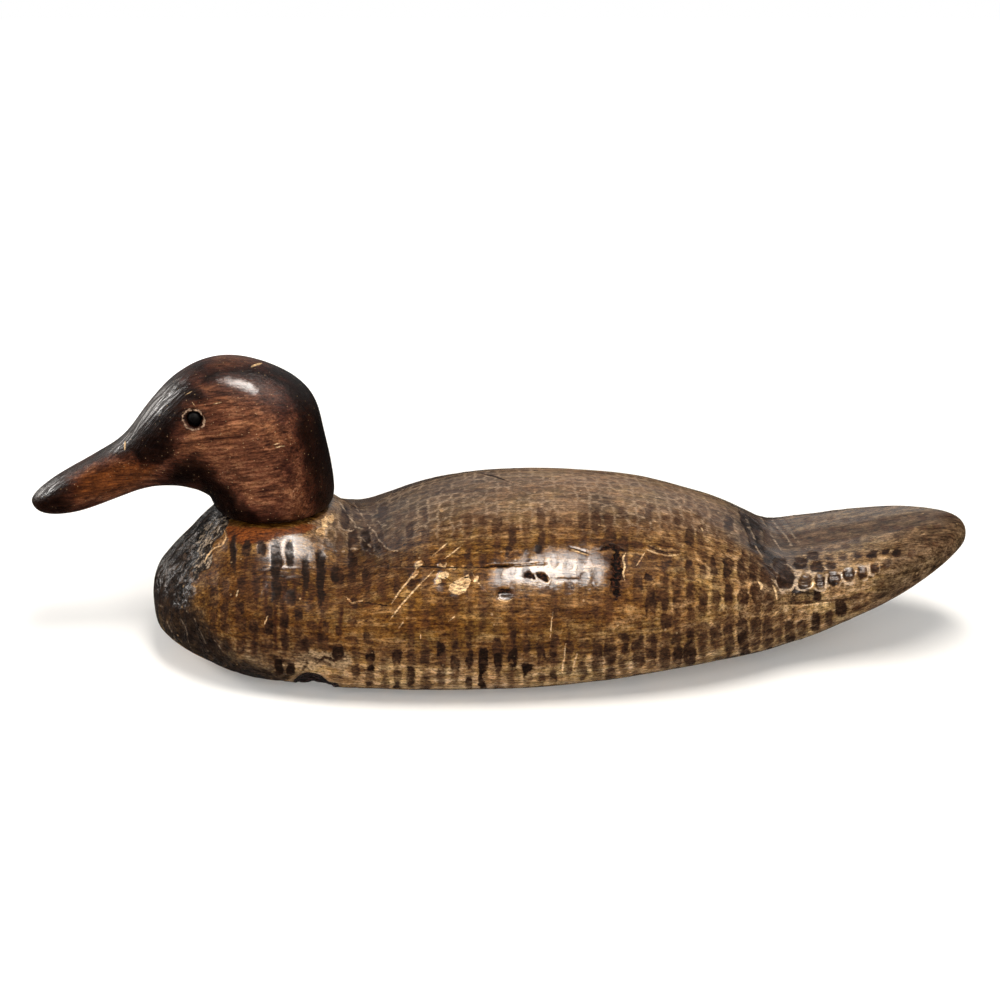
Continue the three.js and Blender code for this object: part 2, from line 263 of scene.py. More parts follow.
# Places are picture points and depths are mm. A dab is x, y, half width, half height, tone and, where
# it has one of its own, carved depth. An area is the width of its soft edge and its outlines.
bodyMarks = {
    # the blank's grid in m; the shortest edge each pass splits, in mm, and the error that it lets stand
    "grid": 0.00135, "passes": [(0.9, 0.05), (0.55, 0.06), (0.35, 0.09)], "triangles": 193000,
    "dabEdge": 7, "lineEdge": 4, "ripples": [((16, 9, 9), 3, 0.16), ((7, 4, 4), 4, 0.07)],
    "gougeHalfWidth": 4.6, "armHalfWidth": 1.9, "gougeDepth": 1.0, "bareDepth": 0.22, "ridgeHeight": 0.16,
    # the upper side: angles round the section, and where it starts behind the breast in mm
    "upperAngles": (22, 62), "upperStart": (-74, -62),
    "neckGrooves": [
        (233, 552, 2.8, 17, 1.0, 0.12), (247, 548, 4, 7.5, 1.0, 0.12), (261, 548, 4, 7.5, 1.0, 0.12),
        (276, 570, 4.8, 31, 1.0, 0.2), (290, 553, 3.8, 13, 1.0, 0.2), (306, 573, 3.2, 18, 0.9, 0.25),
        (321, 577, 4, 28, 0.97, 0.35), (336, 575, 4, 9, 0.92, 0.25), (352, 562, 4, 18, 0.85, 0.2),
        (366, 577, 3, 9, 0.8, 0.25), (291, 597, 5, 8, 0.8, 0.2), (224, 615, 3, 8, 0.55, 0.2),
        (238, 618, 3, 9, 0.6, 0.2), (305, 646, 4, 8, 0.7, 0.25), (320, 640, 4, 6, 0.65, 0.2),
        (279, 666, 4, 9, 0.9, 0.35), (291, 668, 4, 6, 0.9, 0.35), (338, 653, 5, 8, 0.85, 0.3),
        (370, 656, 4, 5, 0.95, 0.3), (370, 668, 3, 4, 0.85, 0.3), (250, 596, 4, 12, 0.35, 0.1),
        (264, 600, 3, 12, 0.3, 0.1), (348, 604, 3, 9, 0.3, 0.1), (222, 588, 3, 9, 0.45, 0.2),
    ],
    "lowerDabs": [
        (397, 657, 4, 7, 0.75), (397, 683, 3, 4, 0.7), (411, 652, 3, 7, 0.55), (411, 676, 3.5, 9, 0.75),
        (425, 660, 4, 9, 0.6), (425, 683, 4, 5, 0.5), (441, 648, 4, 8, 0.8), (441, 676, 4, 6, 0.6),
        (455, 648, 3, 6, 0.6), (455, 662, 4, 7, 0.75), (469, 656, 3, 11, 0.8), (469, 681, 3, 6, 0.75),
        (483, 659, 4.4, 9, 0.92), (483, 679, 3.5, 8, 0.85), (497, 640, 3, 4, 0.8), (498, 658, 4, 6, 0.85),
        (513, 637, 3, 6, 0.7), (513, 657, 4, 9, 0.96), (527, 650, 3, 8, 0.7), (527, 671, 4, 8, 0.95),
        (541, 652, 3.5, 9, 0.7), (554, 652, 3, 8, 0.7), (554, 676, 3, 6, 0.6), (568, 660, 3, 8, 0.5),
        (584, 648, 4, 7, 0.6), (597, 643, 4, 8, 0.7), (597, 669, 4, 8, 0.7), (610, 650, 5, 12, 0.8),
        (624, 644, 4.4, 8, 0.85), (624, 666, 4, 7, 0.6), (638, 650, 5, 13, 0.85), (651, 650, 4.5, 12, 0.85),
        (665, 658, 5, 8, 0.8), (678, 655, 4, 8, 0.85), (690, 653, 5, 9, 0.9), (703, 640, 4, 10, 0.6),
        (716, 634, 4.5, 9, 0.8), (729, 639, 4, 14, 0.75), (743, 632, 4.4, 13, 0.9), (755, 637, 4, 12, 0.65),
        (768, 632, 4.4, 13, 0.7),
    ],
    "middleDabs": [
        (637, 594, 4, 7, 0.6), (651, 603, 4.4, 11, 0.85), (663, 592, 5, 7, 0.65), (677, 604, 3.5, 12, 0.75),
        (690, 593, 3.5, 8, 0.75), (703, 601, 4, 10, 0.75), (716, 597, 3.5, 10, 0.75),
        (729, 594, 3.5, 12, 0.8), (743, 600, 4.5, 12, 0.75), (757, 601, 4, 11, 0.75), (768, 604, 4, 9, 0.6),
        (689, 565, 3, 8, 0.8), (715, 566, 3, 8, 0.85), (727, 568, 3.4, 9, 0.95), (741, 567, 3, 8, 0.9),
        (753, 572, 4, 7, 0.85), (765, 574, 4, 6, 0.8), (650, 576, 3.4, 4.4, 0.95), (510, 553, 3, 6, 0.75),
        (539, 549, 3.4, 3.4, 0.85), (497, 560, 3, 5, 0.6), (441, 565, 3, 6, 0.6), (470, 573, 3, 8, 0.5),
        (427, 600, 3, 7, 0.35), (386, 566, 3, 8, 0.6), (380, 588, 3, 7, 0.4), (688, 505, 3, 5, 0.4),
        (703, 510, 3, 6, 0.4), (720, 525, 3, 7, 0.45), (392, 545, 3, 6, 0.45), (376, 530, 4, 8, 0.4),
        (372, 505, 4, 7, 0.35), (345, 518, 4, 9, 0.7), (356, 512, 4, 7, 0.55), (353, 540, 4.5, 9, 0.75),
        (366, 540, 4, 8, 0.85), (379, 541, 4.5, 7, 0.8), (366, 522, 4, 8, 0.5), (383, 513, 4, 7, 0.6),
        (396, 560, 3.5, 9, 0.55), (410, 545, 3, 7, 0.45), (398, 520, 3.5, 7, 0.45), (703, 545, 3, 7, 0.5),
        (676, 548, 3, 7, 0.4), (731, 545, 3, 6, 0.6), (664, 566, 3, 8, 0.55),
    ],
    "tailCells": [
        (781, 566, 7, 8, 0.8, 0.35), (786, 578, 8, 10, 0.85, 0.45), (796, 588, 6, 4, 0.8, 0.3),
        (813, 556, 6, 4, 0.8, 0.3), (829, 556, 5, 3, 0.75, 0.3), (843, 556, 4, 3, 0.7, 0.25),
        (858, 555, 4, 3, 0.75, 0.25), (871, 554, 5, 3.4, 0.97, 0.35), (885, 552, 4, 3.4, 0.95, 0.3),
        (897, 553, 4, 4, 0.95, 0.3), (911, 553, 4, 3.4, 0.6, 0.2), (801, 563, 7, 6, 0.92, 0.45),
        (817, 567, 6.4, 5.4, 0.9, 0.45), (831, 565, 5, 4, 0.7, 0.42), (805, 581, 6.6, 8, 0.8, 0.6),
        (820, 581, 5.4, 7, 0.85, 0.6), (834, 578, 6, 7, 0.8, 0.6), (848, 575, 5.4, 6.6, 0.85, 0.6),
        (861, 572, 4.8, 6, 0.8, 0.5), (874, 568, 4.4, 5.4, 0.7, 0.45), (887, 564, 4.2, 4.4, 0.6, 0.42),
        (817, 596, 3.4, 6, 0.95, 0.3), (841, 609, 6, 8, 0.78, 0.3), (855, 604, 4, 5, 0.5, 0.2),
        (790, 632, 5, 11, 0.74, 0.2), (802, 628, 4.4, 8, 0.64, 0.2), (816, 622, 4.6, 10, 0.76, 0.25),
        (829, 618, 3.4, 8, 0.68, 0.2), (779, 634, 4, 8, 0.5, 0.2), (862, 596, 4, 5, 0.45, 0.2),
        (880, 583, 4, 5, 0.35, 0.2), (868, 584, 3, 4, 0.4, 0.15),
    ],
    "tailRows": {"y": (519, 529, 539, 547), "x": range(806, 950, 13), "slope": 0.035, "level": 860,
                 "halfWidth": 4.2, "halfHeight": 2.6, "tone": (0.25, 0.55), "deep": 0.08},
    # dark dabs in the flank's gloss and by the gouge, and painted shade in the dent below the gloss
    "dabsAndDentShade": [
        (567, 570, 3, 12, 0.55, 0.0), (580, 571, 3.5, 14, 0.6, 0.0), (595, 580, 3, 9, 0.5, 0.0),
        (511, 573, 3, 12, 0.5, 0.0), (548, 591, 9, 4, 0.55, 0.0), (499, 572, 3, 12, 0.6, 0.0),
        (505, 594.5, 7.2, 4.2, 0.85, 0.0), (607, 547, 9, 4, 0.7, 0.05), (616, 576, 7, 24, 0.62, 0.1),
    ],
    # the dabs stand in numbered columns that close up a little towards the tail: x of some of them
    "columns": {-20: 113, 0: 397, 3: 441, 6: 483, 9: 527, 12: 568, 16: 624, 19: 665, 22: 703, 25: 743,
                27: 768, 45: 1002},
    # the faint dabs in the same columns: on the neck, behind it, and along the flank
    "faintDabs": {"columns": range(-13, 28), "neckEnd": 330, "flankStart": 410, "wideFrom": 580, "sway": 1.2,
                  "top": {"neck": 578, "shoulder": 536, "flank": 512}, "topSpread": 12, "neckFoot": 655,
                  "foot": 690, "quietFrom": (380, 592), "quietTo": (640, 640), "quiet": 0.5,
                  "tone": (0.25, 0.72), "neckTone": 0.12, "halfWidth": (3.0, 4.8), "widening": 1.15,
                  "halfHeight": (5, 10), "apart": (15, 23), "deep": 0.12},
    # how the stain between the columns comes in and fades out
    "columnFades": {"top": (496, 540), "front": (335, 400), "rear": (905, 800)},
    "drips": {"first": 246, "apart": 9.5, "front": (218, 230), "rear": (362, 345), "top": (538, 560),
              "foot": (668, 640)},
    # half width, carved depth, points
    "cracks": [
        (0.7, 0.45, [(372, 565), (402, 566.5), (425, 566), (447, 567), (470, 567.5), (488, 567),
                     (500, 565.5), (522, 565), (546, 563)]),
        (1.1, 0.7, [(484, 567), (494, 565.5), (505, 566), (512, 565)]),
        (0.7, 0.4, [(352, 602), (368, 602.5), (383, 605), (393, 606)]),
        (0.7, 0.3, [(481, 473), (491, 475), (500, 478), (512, 483)]),
        (0.8, 0.3, [(646, 545), (655, 549), (668, 553)]), (0.7, 0.3, [(570, 547), (580, 550), (589, 553)]),
        (2.5, 0.3, [(524, 577), (529, 574), (534, 578)]), (2.9, 0.35, [(537, 574), (543, 576), (547, 581)]),
        (2.0, 0.3, [(498, 593), (502, 591), (509, 591), (512, 594)]),
    ],
    # half width, carved depth, tone, points
    "faintLines": [
        (1.1, 0.15, 0.6, [(330, 569), (352, 568), (375, 565)]),
        (1.0, 0.15, 0.55, [(240, 568), (262, 571), (285, 568), (330, 569)]),
        (1.5, 0.2, 0.6, [(258, 577), (280, 580), (303, 577)]),
        (1.0, 0.2, 0.7, [(546, 580), (566, 579), (584, 580)]),
        (1.4, 0.2, 0.6, [(497, 519), (495, 526), (493, 534)]),
        (1.1, 0.1, 0.5, [(420, 494), (445, 491), (470, 491), (486, 489)]),
        (1.0, 0.1, 0.45, [(455, 517), (480, 516), (505, 518)]),
        (1.0, 0.2, 0.7, [(650, 551), (662, 553), (680, 552)]),
        (2.0, 0.35, 0.7, [(740, 512), (745, 522), (750, 537), (757, 558), (766, 566)]),
        (1.6, 0.35, 0.75, [(766, 566), (776, 576), (781, 590)]),
        (1.0, 0.2, 0.6, [(778, 604), (810, 602.5), (850, 600), (872, 594)]),
        (1.2, 0.2, 0.6, [(276, 660), (292, 661), (312, 658), (330, 664)]),
        (1.3, 0.2, 0.8, [(213, 503), (211, 512), (205, 520), (200, 530), (197, 541)]),
        (1.0, 0.15, 0.6, [(330, 604), (352, 602)]), (1.1, 0.15, 0.6, [(752, 512), (762, 526), (776, 545)]),
        (1.1, 0.15, 0.6, [(762, 512), (772, 524), (786, 543)]),
        (1.1, 0.15, 0.55, [(772, 516), (782, 527), (796, 545)]),
        (1.1, 0.15, 0.5, [(752, 528), (762, 545), (770, 560)]),
        (0.9, 0.2, 0.8, [(316, 664), (325, 657), (335, 661), (347, 656)]),
        (0.8, 0.2, 0.7, [(303, 655), (307, 663), (303, 670)]),
        (0.9, 0.1, 0.45, [(784, 518), (794, 530), (806, 544)]),
        (1.0, 0.1, 0.5, [(560, 541), (600, 540), (640, 543)]),
    ],
    "gouge": [
        (612, 547), (617, 551), (615, 560), (618, 570), (615, 580), (617, 590), (616, 600),
    ],
    "gougeArm": [
        (600, 550), (611, 545), (624, 550),
    ],
    # pale scratches down to bare wood: half width, carved depth, points
    "scratches": [
        (0.8, 0.12, [(391, 604), (399, 592), (411, 577), (418, 566)]),
        (0.8, 0.12, [(389, 621), (400, 606), (416, 588), (434, 570)]),
        (0.6, 0.1, [(431, 557), (440, 549), (449, 541)]), (0.6, 0.1, [(444, 559), (453, 552), (463, 544)]),
        (0.7, 0.1, [(398, 629), (404, 621)]), (2.4, 0.3, [(415, 567), (419, 563), (423, 562)]),
        (1.8, 0.25, [(412, 578), (415, 574), (418, 571)]),
        (1.0, 0.15, [(346, 597), (352, 603), (364, 600)]), (0.9, 0.1, [(566, 643), (564, 659), (562, 675)]),
        (0.8, 0.1, [(578, 651), (575, 661), (573, 671)]), (0.6, 0.08, [(553, 612), (551, 626), (550, 640)]),
        (0.4, 0.03, [(471, 570), (475, 578), (481, 586), (487, 592), (494, 596)]),
        (1.0, 0.15, [(626, 552), (623, 558), (625, 566), (623, 573), (625, 580)]),
        (0.7, 0.1, [(570, 549), (580, 552), (589, 555)]),
        (0.8, 0.15, [(646, 549), (656, 553), (668, 556), (681, 554)]),
        (1.2, 0.15, [(758, 581), (762, 585), (761, 590)]),
        (0.9, 0.12, [(773, 585), (776, 592), (777, 600)]), (0.7, 0.1, [(636, 566), (641, 559), (645, 552)]),
        (1.6, 0.2, [(440, 510), (443, 511)]),
        (0.6, 0.05, [(496, 596), (500, 600), (507, 601.5), (514, 598)]),
        (0.7, 0.1, [(701, 527), (704, 531)]), (0.7, 0.1, [(778, 606), (808, 605), (836, 602)]),
        (0.8, 0.1, [(224, 530), (226, 538), (222, 545), (212, 549), (206, 557), (204, 563)]),
        (0.7, 0.1, [(238, 590), (236, 597)]), (0.7, 0.1, [(268, 615), (264, 625)]),
        (0.6, 0.1, [(420, 640), (421, 634)]), (0.6, 0.1, [(448, 622), (455, 616)]),
    ],
    "barePatches": [
        [(449, 586), (455, 580), (463, 577), (469, 574), (471, 580), (467, 590), (459, 594), (452, 592)],
        [(439, 573), (446, 570), (450, 575), (444, 578), (438, 577)],
        [(447, 566), (454, 565), (456, 569), (449, 571)],
        [(316, 530), (323, 524), (327, 528), (322, 536), (316, 536)],
        [(327, 518), (332, 514), (335, 519), (330, 524)], [(322, 520), (326, 517), (327, 522), (323, 524)],
        [(440, 565), (446, 564), (445, 568)], [(473, 577), (478, 576), (477, 582), (474, 583)],
        [(434, 580), (440, 578), (441, 582), (436, 584)],
    ],
    "splinters": [
        [(444, 576), (452, 582), (461, 585), (467, 583)], [(463, 577.5), (470, 576.5)],
        [(452, 590), (458, 590.5)],
    ],
    "dent": {"x": 505, "y": 595, "halfWidth": 7.5, "halfHeight": 4.5, "deep": 0.3},
    # hollows that the gouge left at the foot of the breast: points, half width, carved depth
    "scoops": [
        ([(174, 612), (181, 626), (180, 642)], 4.5, 0.95),
        ([(190, 622), (196, 638), (199, 652)], 4.5, 0.85), ([(207, 640), (216, 654)], 5, 0.65),
        ([(162, 604), (168, 620)], 4, 0.6), ([(172, 552), (180, 566), (188, 586)], 6, 0.35),
    ],
    # pale ridges between the slanting cuts on the rump and between the dabs behind the neck, their paleness
    # partly a painted highlight along the crests
    "paleRidges": [
        [(338, 500), (346, 512), (355, 527), (364, 541), (374, 550)],
        [(352, 500), (362, 515), (372, 530), (384, 546), (398, 552)], [(338, 528), (350, 531), (360, 528)],
        [(342, 552), (352, 548), (366, 551), (378, 556)], [(374, 520), (384, 526), (396, 528)],
        [(746, 518), (753, 536), (762, 558)], [(757, 513), (767, 528), (781, 550)],
        [(767, 513), (778, 526), (792, 546)], [(776, 560), (788, 564), (796, 572)],
        [(778, 592), (795, 594), (806, 592)], [(784, 526), (796, 538), (806, 550)],
        [(770, 572), (776, 584), (784, 592)],
    ],
    # painted highlights: pale colour on the rims between the scoops
    "rimHighlights": [
        [(158, 606), (170, 610), (180, 620), (187, 634), (190, 648)],
        [(184, 608), (194, 620), (202, 636), (208, 652)], [(166, 622), (172, 634), (176, 646)],
        [(214, 640), (224, 652), (232, 662)],
    ],
    "flakedEdge": [
        (228, 514), (219, 526), (212, 538), (207, 550), (203, 562), (200, 576),
    ],
    # the band down the breast where the char is grey, partly ash and partly a painted sheen
    "ashAndSheenBand": [
        (216, 500), (203, 522), (191, 546), (184, 568), (180, 592),
    ],
    "areas": {
        "charred": (18, [
            [(212, 490), (222, 512), (218, 528), (206, 545), (198, 560), (195, 580), (190, 598), (180, 612),
             (160, 606), (140, 600), (130, 560), (190, 500)],
            [(788, 590), (811, 588), (812, 600), (790, 601)],
            [(742, 508), (752, 512), (762, 540), (775, 566), (770, 568), (754, 548), (744, 528)],
        ]),
        "breastFoot": (26, [
            [(136, 596), (186, 592), (204, 616), (222, 640), (262, 662), (296, 674), (270, 704),
             (130, 704)],
        ]),
        # painted shade in the hollow behind the neck, at the turn of the rump, under the tail and along the
        # foot of the flank and breast; the tail's tip is darkened too, and the small outline on the back is a
        # purple smudge
        "dark": (30, [
            [(340, 505), (362, 504), (392, 512), (400, 530), (384, 556), (366, 566), (350, 548),
             (342, 525)],
            [(728, 500), (760, 505), (800, 512), (830, 540), (800, 560), (786, 600), (760, 606),
             (745, 560)],
            [(888, 546), (935, 500), (990, 515), (990, 580), (930, 604), (868, 614)],
            [(596, 496), (612, 496), (614, 522), (598, 524)],
            [(842, 624), (900, 600), (950, 560), (968, 530), (975, 560), (900, 640)],
            [(560, 690), (700, 668), (860, 632), (880, 660), (600, 710)],
            [(186, 605), (215, 640), (290, 672), (270, 700), (160, 640)],
        ]),
        # a broader painted shade behind the neck, and a darker tone over the top of the tail
        "dusky": (90, [
            [(330, 470), (480, 450), (520, 480), (430, 520), (400, 570), (340, 570)],
            [(770, 490), (980, 480), (980, 560), (800, 560)],
        ]),
        "shelf": (8, [
            [(226, 526), (250, 527), (285, 528), (312, 524), (318, 527), (304, 532), (285, 535), (268, 541),
             (250, 544), (228, 542)],
        ]),
        "tanned": (10, [
            [(296, 658), (308, 650), (326, 654), (342, 650), (352, 662), (344, 670), (322, 666), (306, 670),
             (292, 666)],
        ]),
        "stained": (28, [
            [(186, 590), (205, 556), (262, 556), (300, 570), (358, 566), (392, 572), (386, 606), (350, 632),
             (310, 662), (240, 668), (196, 635)],
        ]),
        "deepStained": (24, [
            [(192, 556), (208, 548), (222, 562), (228, 600), (236, 640), (214, 652), (190, 615)],
        ]),
        "unpolished": (22, [
            [(200, 516), (232, 545), (246, 566), (256, 600), (240, 660), (206, 650), (184, 600),
             (186, 560)],
            [(268, 576), (300, 572), (345, 566), (400, 560), (480, 600), (480, 640), (270, 640)],
            [(430, 505), (700, 505), (770, 560), (760, 620), (640, 625), (608, 606), (606, 566), (594, 552),
             (548, 549), (512, 554), (494, 562), (492, 594), (478, 606), (430, 600)],
            [(866, 545), (900, 530), (980, 500), (990, 570), (920, 610), (862, 600)],
        ]),
        "chip": (8, [
            [(291, 688), (294, 679), (301, 674), (312, 670), (326, 672), (336, 680), (341, 690)],
        ]),
    },
}


def tailRows():
    # small pale dabs in rows along the top of the tail
    s = bodyMarks["tailRows"]
    rows = []
    for y, x in product(s["y"], s["x"]):
        at = (x + rng.uniform(-1.5, 1.5), y - (x - s["level"]) * s["slope"] + rng.uniform(-0.8, 0.8))
        rows.append((*at, s["halfWidth"], s["halfHeight"], rng.uniform(*s["tone"]), s["deep"]))
    return rows


def faintColumns():
    # the pale remains of the same dabs between the clear ones, in the same columns
    rows = []
    s, places = bodyMarks["faintDabs"], bodyMarks["columns"]
    for column in s["columns"]:
        x = np.interp(column, list(places), list(places.values())) + rng.uniform(-s["sway"], s["sway"])
        onNeck = x < s["neckEnd"]
        top = s["top"]["neck" if onNeck else "flank" if x > s["flankStart"] else "shoulder"]
        y = top + rng.uniform(0, s["topSpread"])
        while y < (s["neckFoot"] if onNeck else s["foot"]):
            inQuiet = s["quietFrom"][1] < y < s["quietTo"][1] and s["quietFrom"][0] < x < s["quietTo"][0]
            tone = rng.uniform(*s["tone"]) * (s["quiet"] if inQuiet else 1.0) + s["neckTone"] * onNeck
            widening = 1.0 if x < s["wideFrom"] else s["widening"]
            rows.append((x + rng.uniform(-s["sway"], s["sway"]), y, rng.uniform(*s["halfWidth"]) * widening,
                         rng.uniform(*s["halfHeight"]), tone, s["deep"]))
            y += rng.uniform(*s["apart"])
    return rows


def allDabs():
    # every dab on the left side, and the same with some scatter on the right
    rows = tailRows()
    grooves, clear = [], []
    for x, y, w, h, t, c in bodyMarks["neckGrooves"]:
        grooves.append((x, y, w * 1.12, h * 1.05, min(1.0, t * 1.06), c))
    for x, y, w, h, t in bodyMarks["lowerDabs"] + bodyMarks["middleDabs"]:
        widening, darkening = (1.15 if x < 580 else 1.22), (1.12 if x < 560 else 0.88)
        clear.append((x, y, w * widening, h * 1.3, min(1.0, t * darkening), 0.16 * t))
    left = faintColumns() + grooves + clear + rows + bodyMarks["tailCells"] + bodyMarks["dabsAndDentShade"]
    right = [(x + rng.uniform(-6, 6), y + rng.uniform(-5, 5), w * rng.uniform(0.85, 1.15),
              h * rng.uniform(0.8, 1.1), t * 0.92, c * 0.8) for x, y, w, h, t, c in left]
    return left, right


leftDabs, rightDabs = allDabs()
ridgedCells = [cell for cell in bodyMarks["tailCells"] if cell[5] > 0.4]


def sectionMiddle(x):
    # height of the middle of the body's section at x, in mm
    stations = {-147: 22, -120: 26.5, -60: 31.5, 40: 32.5, 100: 34, 119: 34.8, 131: 37, 145: 40, 160: 43,
                174: 45.6, 197: 48.6}
    return np.interp(x, list(stations), list(stations.values()))


def sectionAngle(points):
    # the angle round the section's middle, from the left side (90 is the top)
    return np.degrees(np.arctan2(points[:, 2] - sectionMiddle(points[:, 0]), np.abs(points[:, 1])))


def dabFields(points, q, loose, near):
    # depth in the nearest dab or faint line, its tone and its carved depth
    depth = np.full(len(points), outside)
    tone, cut = np.zeros(len(points)), np.zeros(len(points))
    for mask, dabs in ((near, leftDabs), (~near, rightDabs)):
        if mask.any():
            depth[mask], tone[mask], cut[mask] = dabDepth(loose[mask], dabs)
    left = np.where(near)[0]
    ql = q[left]
    for halfWidth, deep, strength, line in bodyMarks["faintLines"]:
        d = lineDepth(ql, line, halfWidth)
        wins = (d * strength > depth[left] * tone[left] + 0.01) & (d > -2.5)
        chosen = left[wins]
        depth[chosen], tone[chosen], cut[chosen] = d[wins] + 0.6, strength, deep
    return depth, tone, cut


def columnField(points, q):
    # the stain between the dabs follows their columns
    places, fades, drips = bodyMarks["columns"], bodyMarks["columnFades"], bodyMarks["drips"]
    across, down = q.T
    swaying = across + softNoise(points, (5, 5, 9), 51) * 2.2
    beat = np.cos(np.interp(swaying, list(places.values()), list(places)) * 2 * math.pi)
    column = ease(-0.15, 0.85, beat) * ease(-0.5, 0.45, softNoise(points, (7, 9, 8), 52) + 0.3)
    column *= ease(*fades["top"], down) * ease(*fades["front"], across) * ease(*fades["rear"], across)
    swaying = across - drips["first"] + softNoise(points, (5, 5, 12), 53) * 2.5
    beat = np.cos(swaying * 2 * math.pi / drips["apart"])
    dripping = ease(0.0, 0.9, beat) * ease(-0.4, 0.5, softNoise(points, (5, 9, 12), 54))
    dripping = dripping * ease(*drips["front"], across) * ease(*drips["rear"], across)
    return np.maximum(column, dripping * ease(*drips["top"], down) * ease(*drips["foot"], down))


def carveMarks(points, q, near, height):
    # cuts the cracks, the gouge, the scratches, chips and hollows of the left side into `height`
    marks = bodyMarks
    crack = np.full(len(points), outside)
    bare = np.full(len(points), outside)
    left = np.where(near)[0]
    ql = q[left]
    jag = softNoise(points[left], 1.1, 5) * 1.2
    for halfWidth, deep, line in marks["cracks"]:
        d = lineDepth(ql, line, halfWidth) + jag * (halfWidth > 1.5)
        crack[left] = np.maximum(crack[left], d)
        height[left] -= deep * ease(-0.9, 0.7, d)
    serrated = 2.2 * softNoise(points[left], (2.6, 2.6, 1.3), 6) + 0.9 * np.sin(ql[:, 1] * 1.25)
    d = lineDepth(ql, marks["gouge"], marks["gougeHalfWidth"]) + serrated
    d = np.maximum(d, lineDepth(ql, marks["gougeArm"], marks["armHalfWidth"])) + 0.7 * jag
    crack[left] = np.maximum(crack[left], d)
    height[left] -= marks["gougeDepth"] * ease(-0.6, 2.6, d)
    for halfWidth, deep, line in marks["scratches"]:
        d = lineDepth(ql, line, halfWidth)
        bare[left] = np.maximum(bare[left], d)
        height[left] -= deep * ease(-1.0, 0.6, d)
    for outline in marks["barePatches"]:
        d = patchDepth(ql, outline) + 1.6 * jag + 1.3 * softNoise(points[left], 2.4, 14)
        bare[left] = np.maximum(bare[left], d)
        height[left] -= marks["bareDepth"] * ease(-1.0, 1.6, d)
    for line in marks["splinters"]:
        crack[left] = np.maximum(crack[left], lineDepth(ql, line, 0.7) + 0.5 * jag)
    dent = marks["dent"]
    ring = np.hypot((ql[:, 0] - dent["x"]) / dent["halfWidth"], (ql[:, 1] - dent["y"]) / dent["halfHeight"])
    height[left] -= dent["deep"] * ease(1.15, 0.5, ring) - 0.05 * np.exp(-((ring - 1.25) / 0.22) ** 2)
    for line, halfWidth, deep in marks["scoops"]:
        height[left] -= deep * ease(-halfWidth * 0.9, halfWidth, lineDepth(ql, line, halfWidth))
    return crack, bare


def ridgeField(points, q, loose, near):
    # the ridges left standing between the tail's cells and the pale ridges elsewhere, pale partly with wear
    # and partly with a painted highlight, and the painted highlights on the rims between the scoops
    ridge = np.zeros(len(points))
    onTail = (q[:, 0] > 772) & (q[:, 0] < 905) & (q[:, 1] > 545) & (q[:, 1] < 595)
    around = dabDepth(loose[onTail], ridgedCells)[0]
    ridge[onTail] = np.exp(-((around + 1.4) / 1.4) ** 2) * ease(915, 860, q[onTail, 0])
    ridge *= ease(560, 578, q[:, 1] + 0.12 * (q[:, 0] - 800))
    left = np.where(near)[0]
    for share, lines in ((0.55, bodyMarks["paleRidges"]), (0.47, bodyMarks["rimHighlights"])):
        for line in lines:
            crest = share * np.exp(-(lineDepth(loose[left], line, 0.0) / 1.6) ** 2)
            ridge[left] = np.maximum(ridge[left], crest)
    return ridge


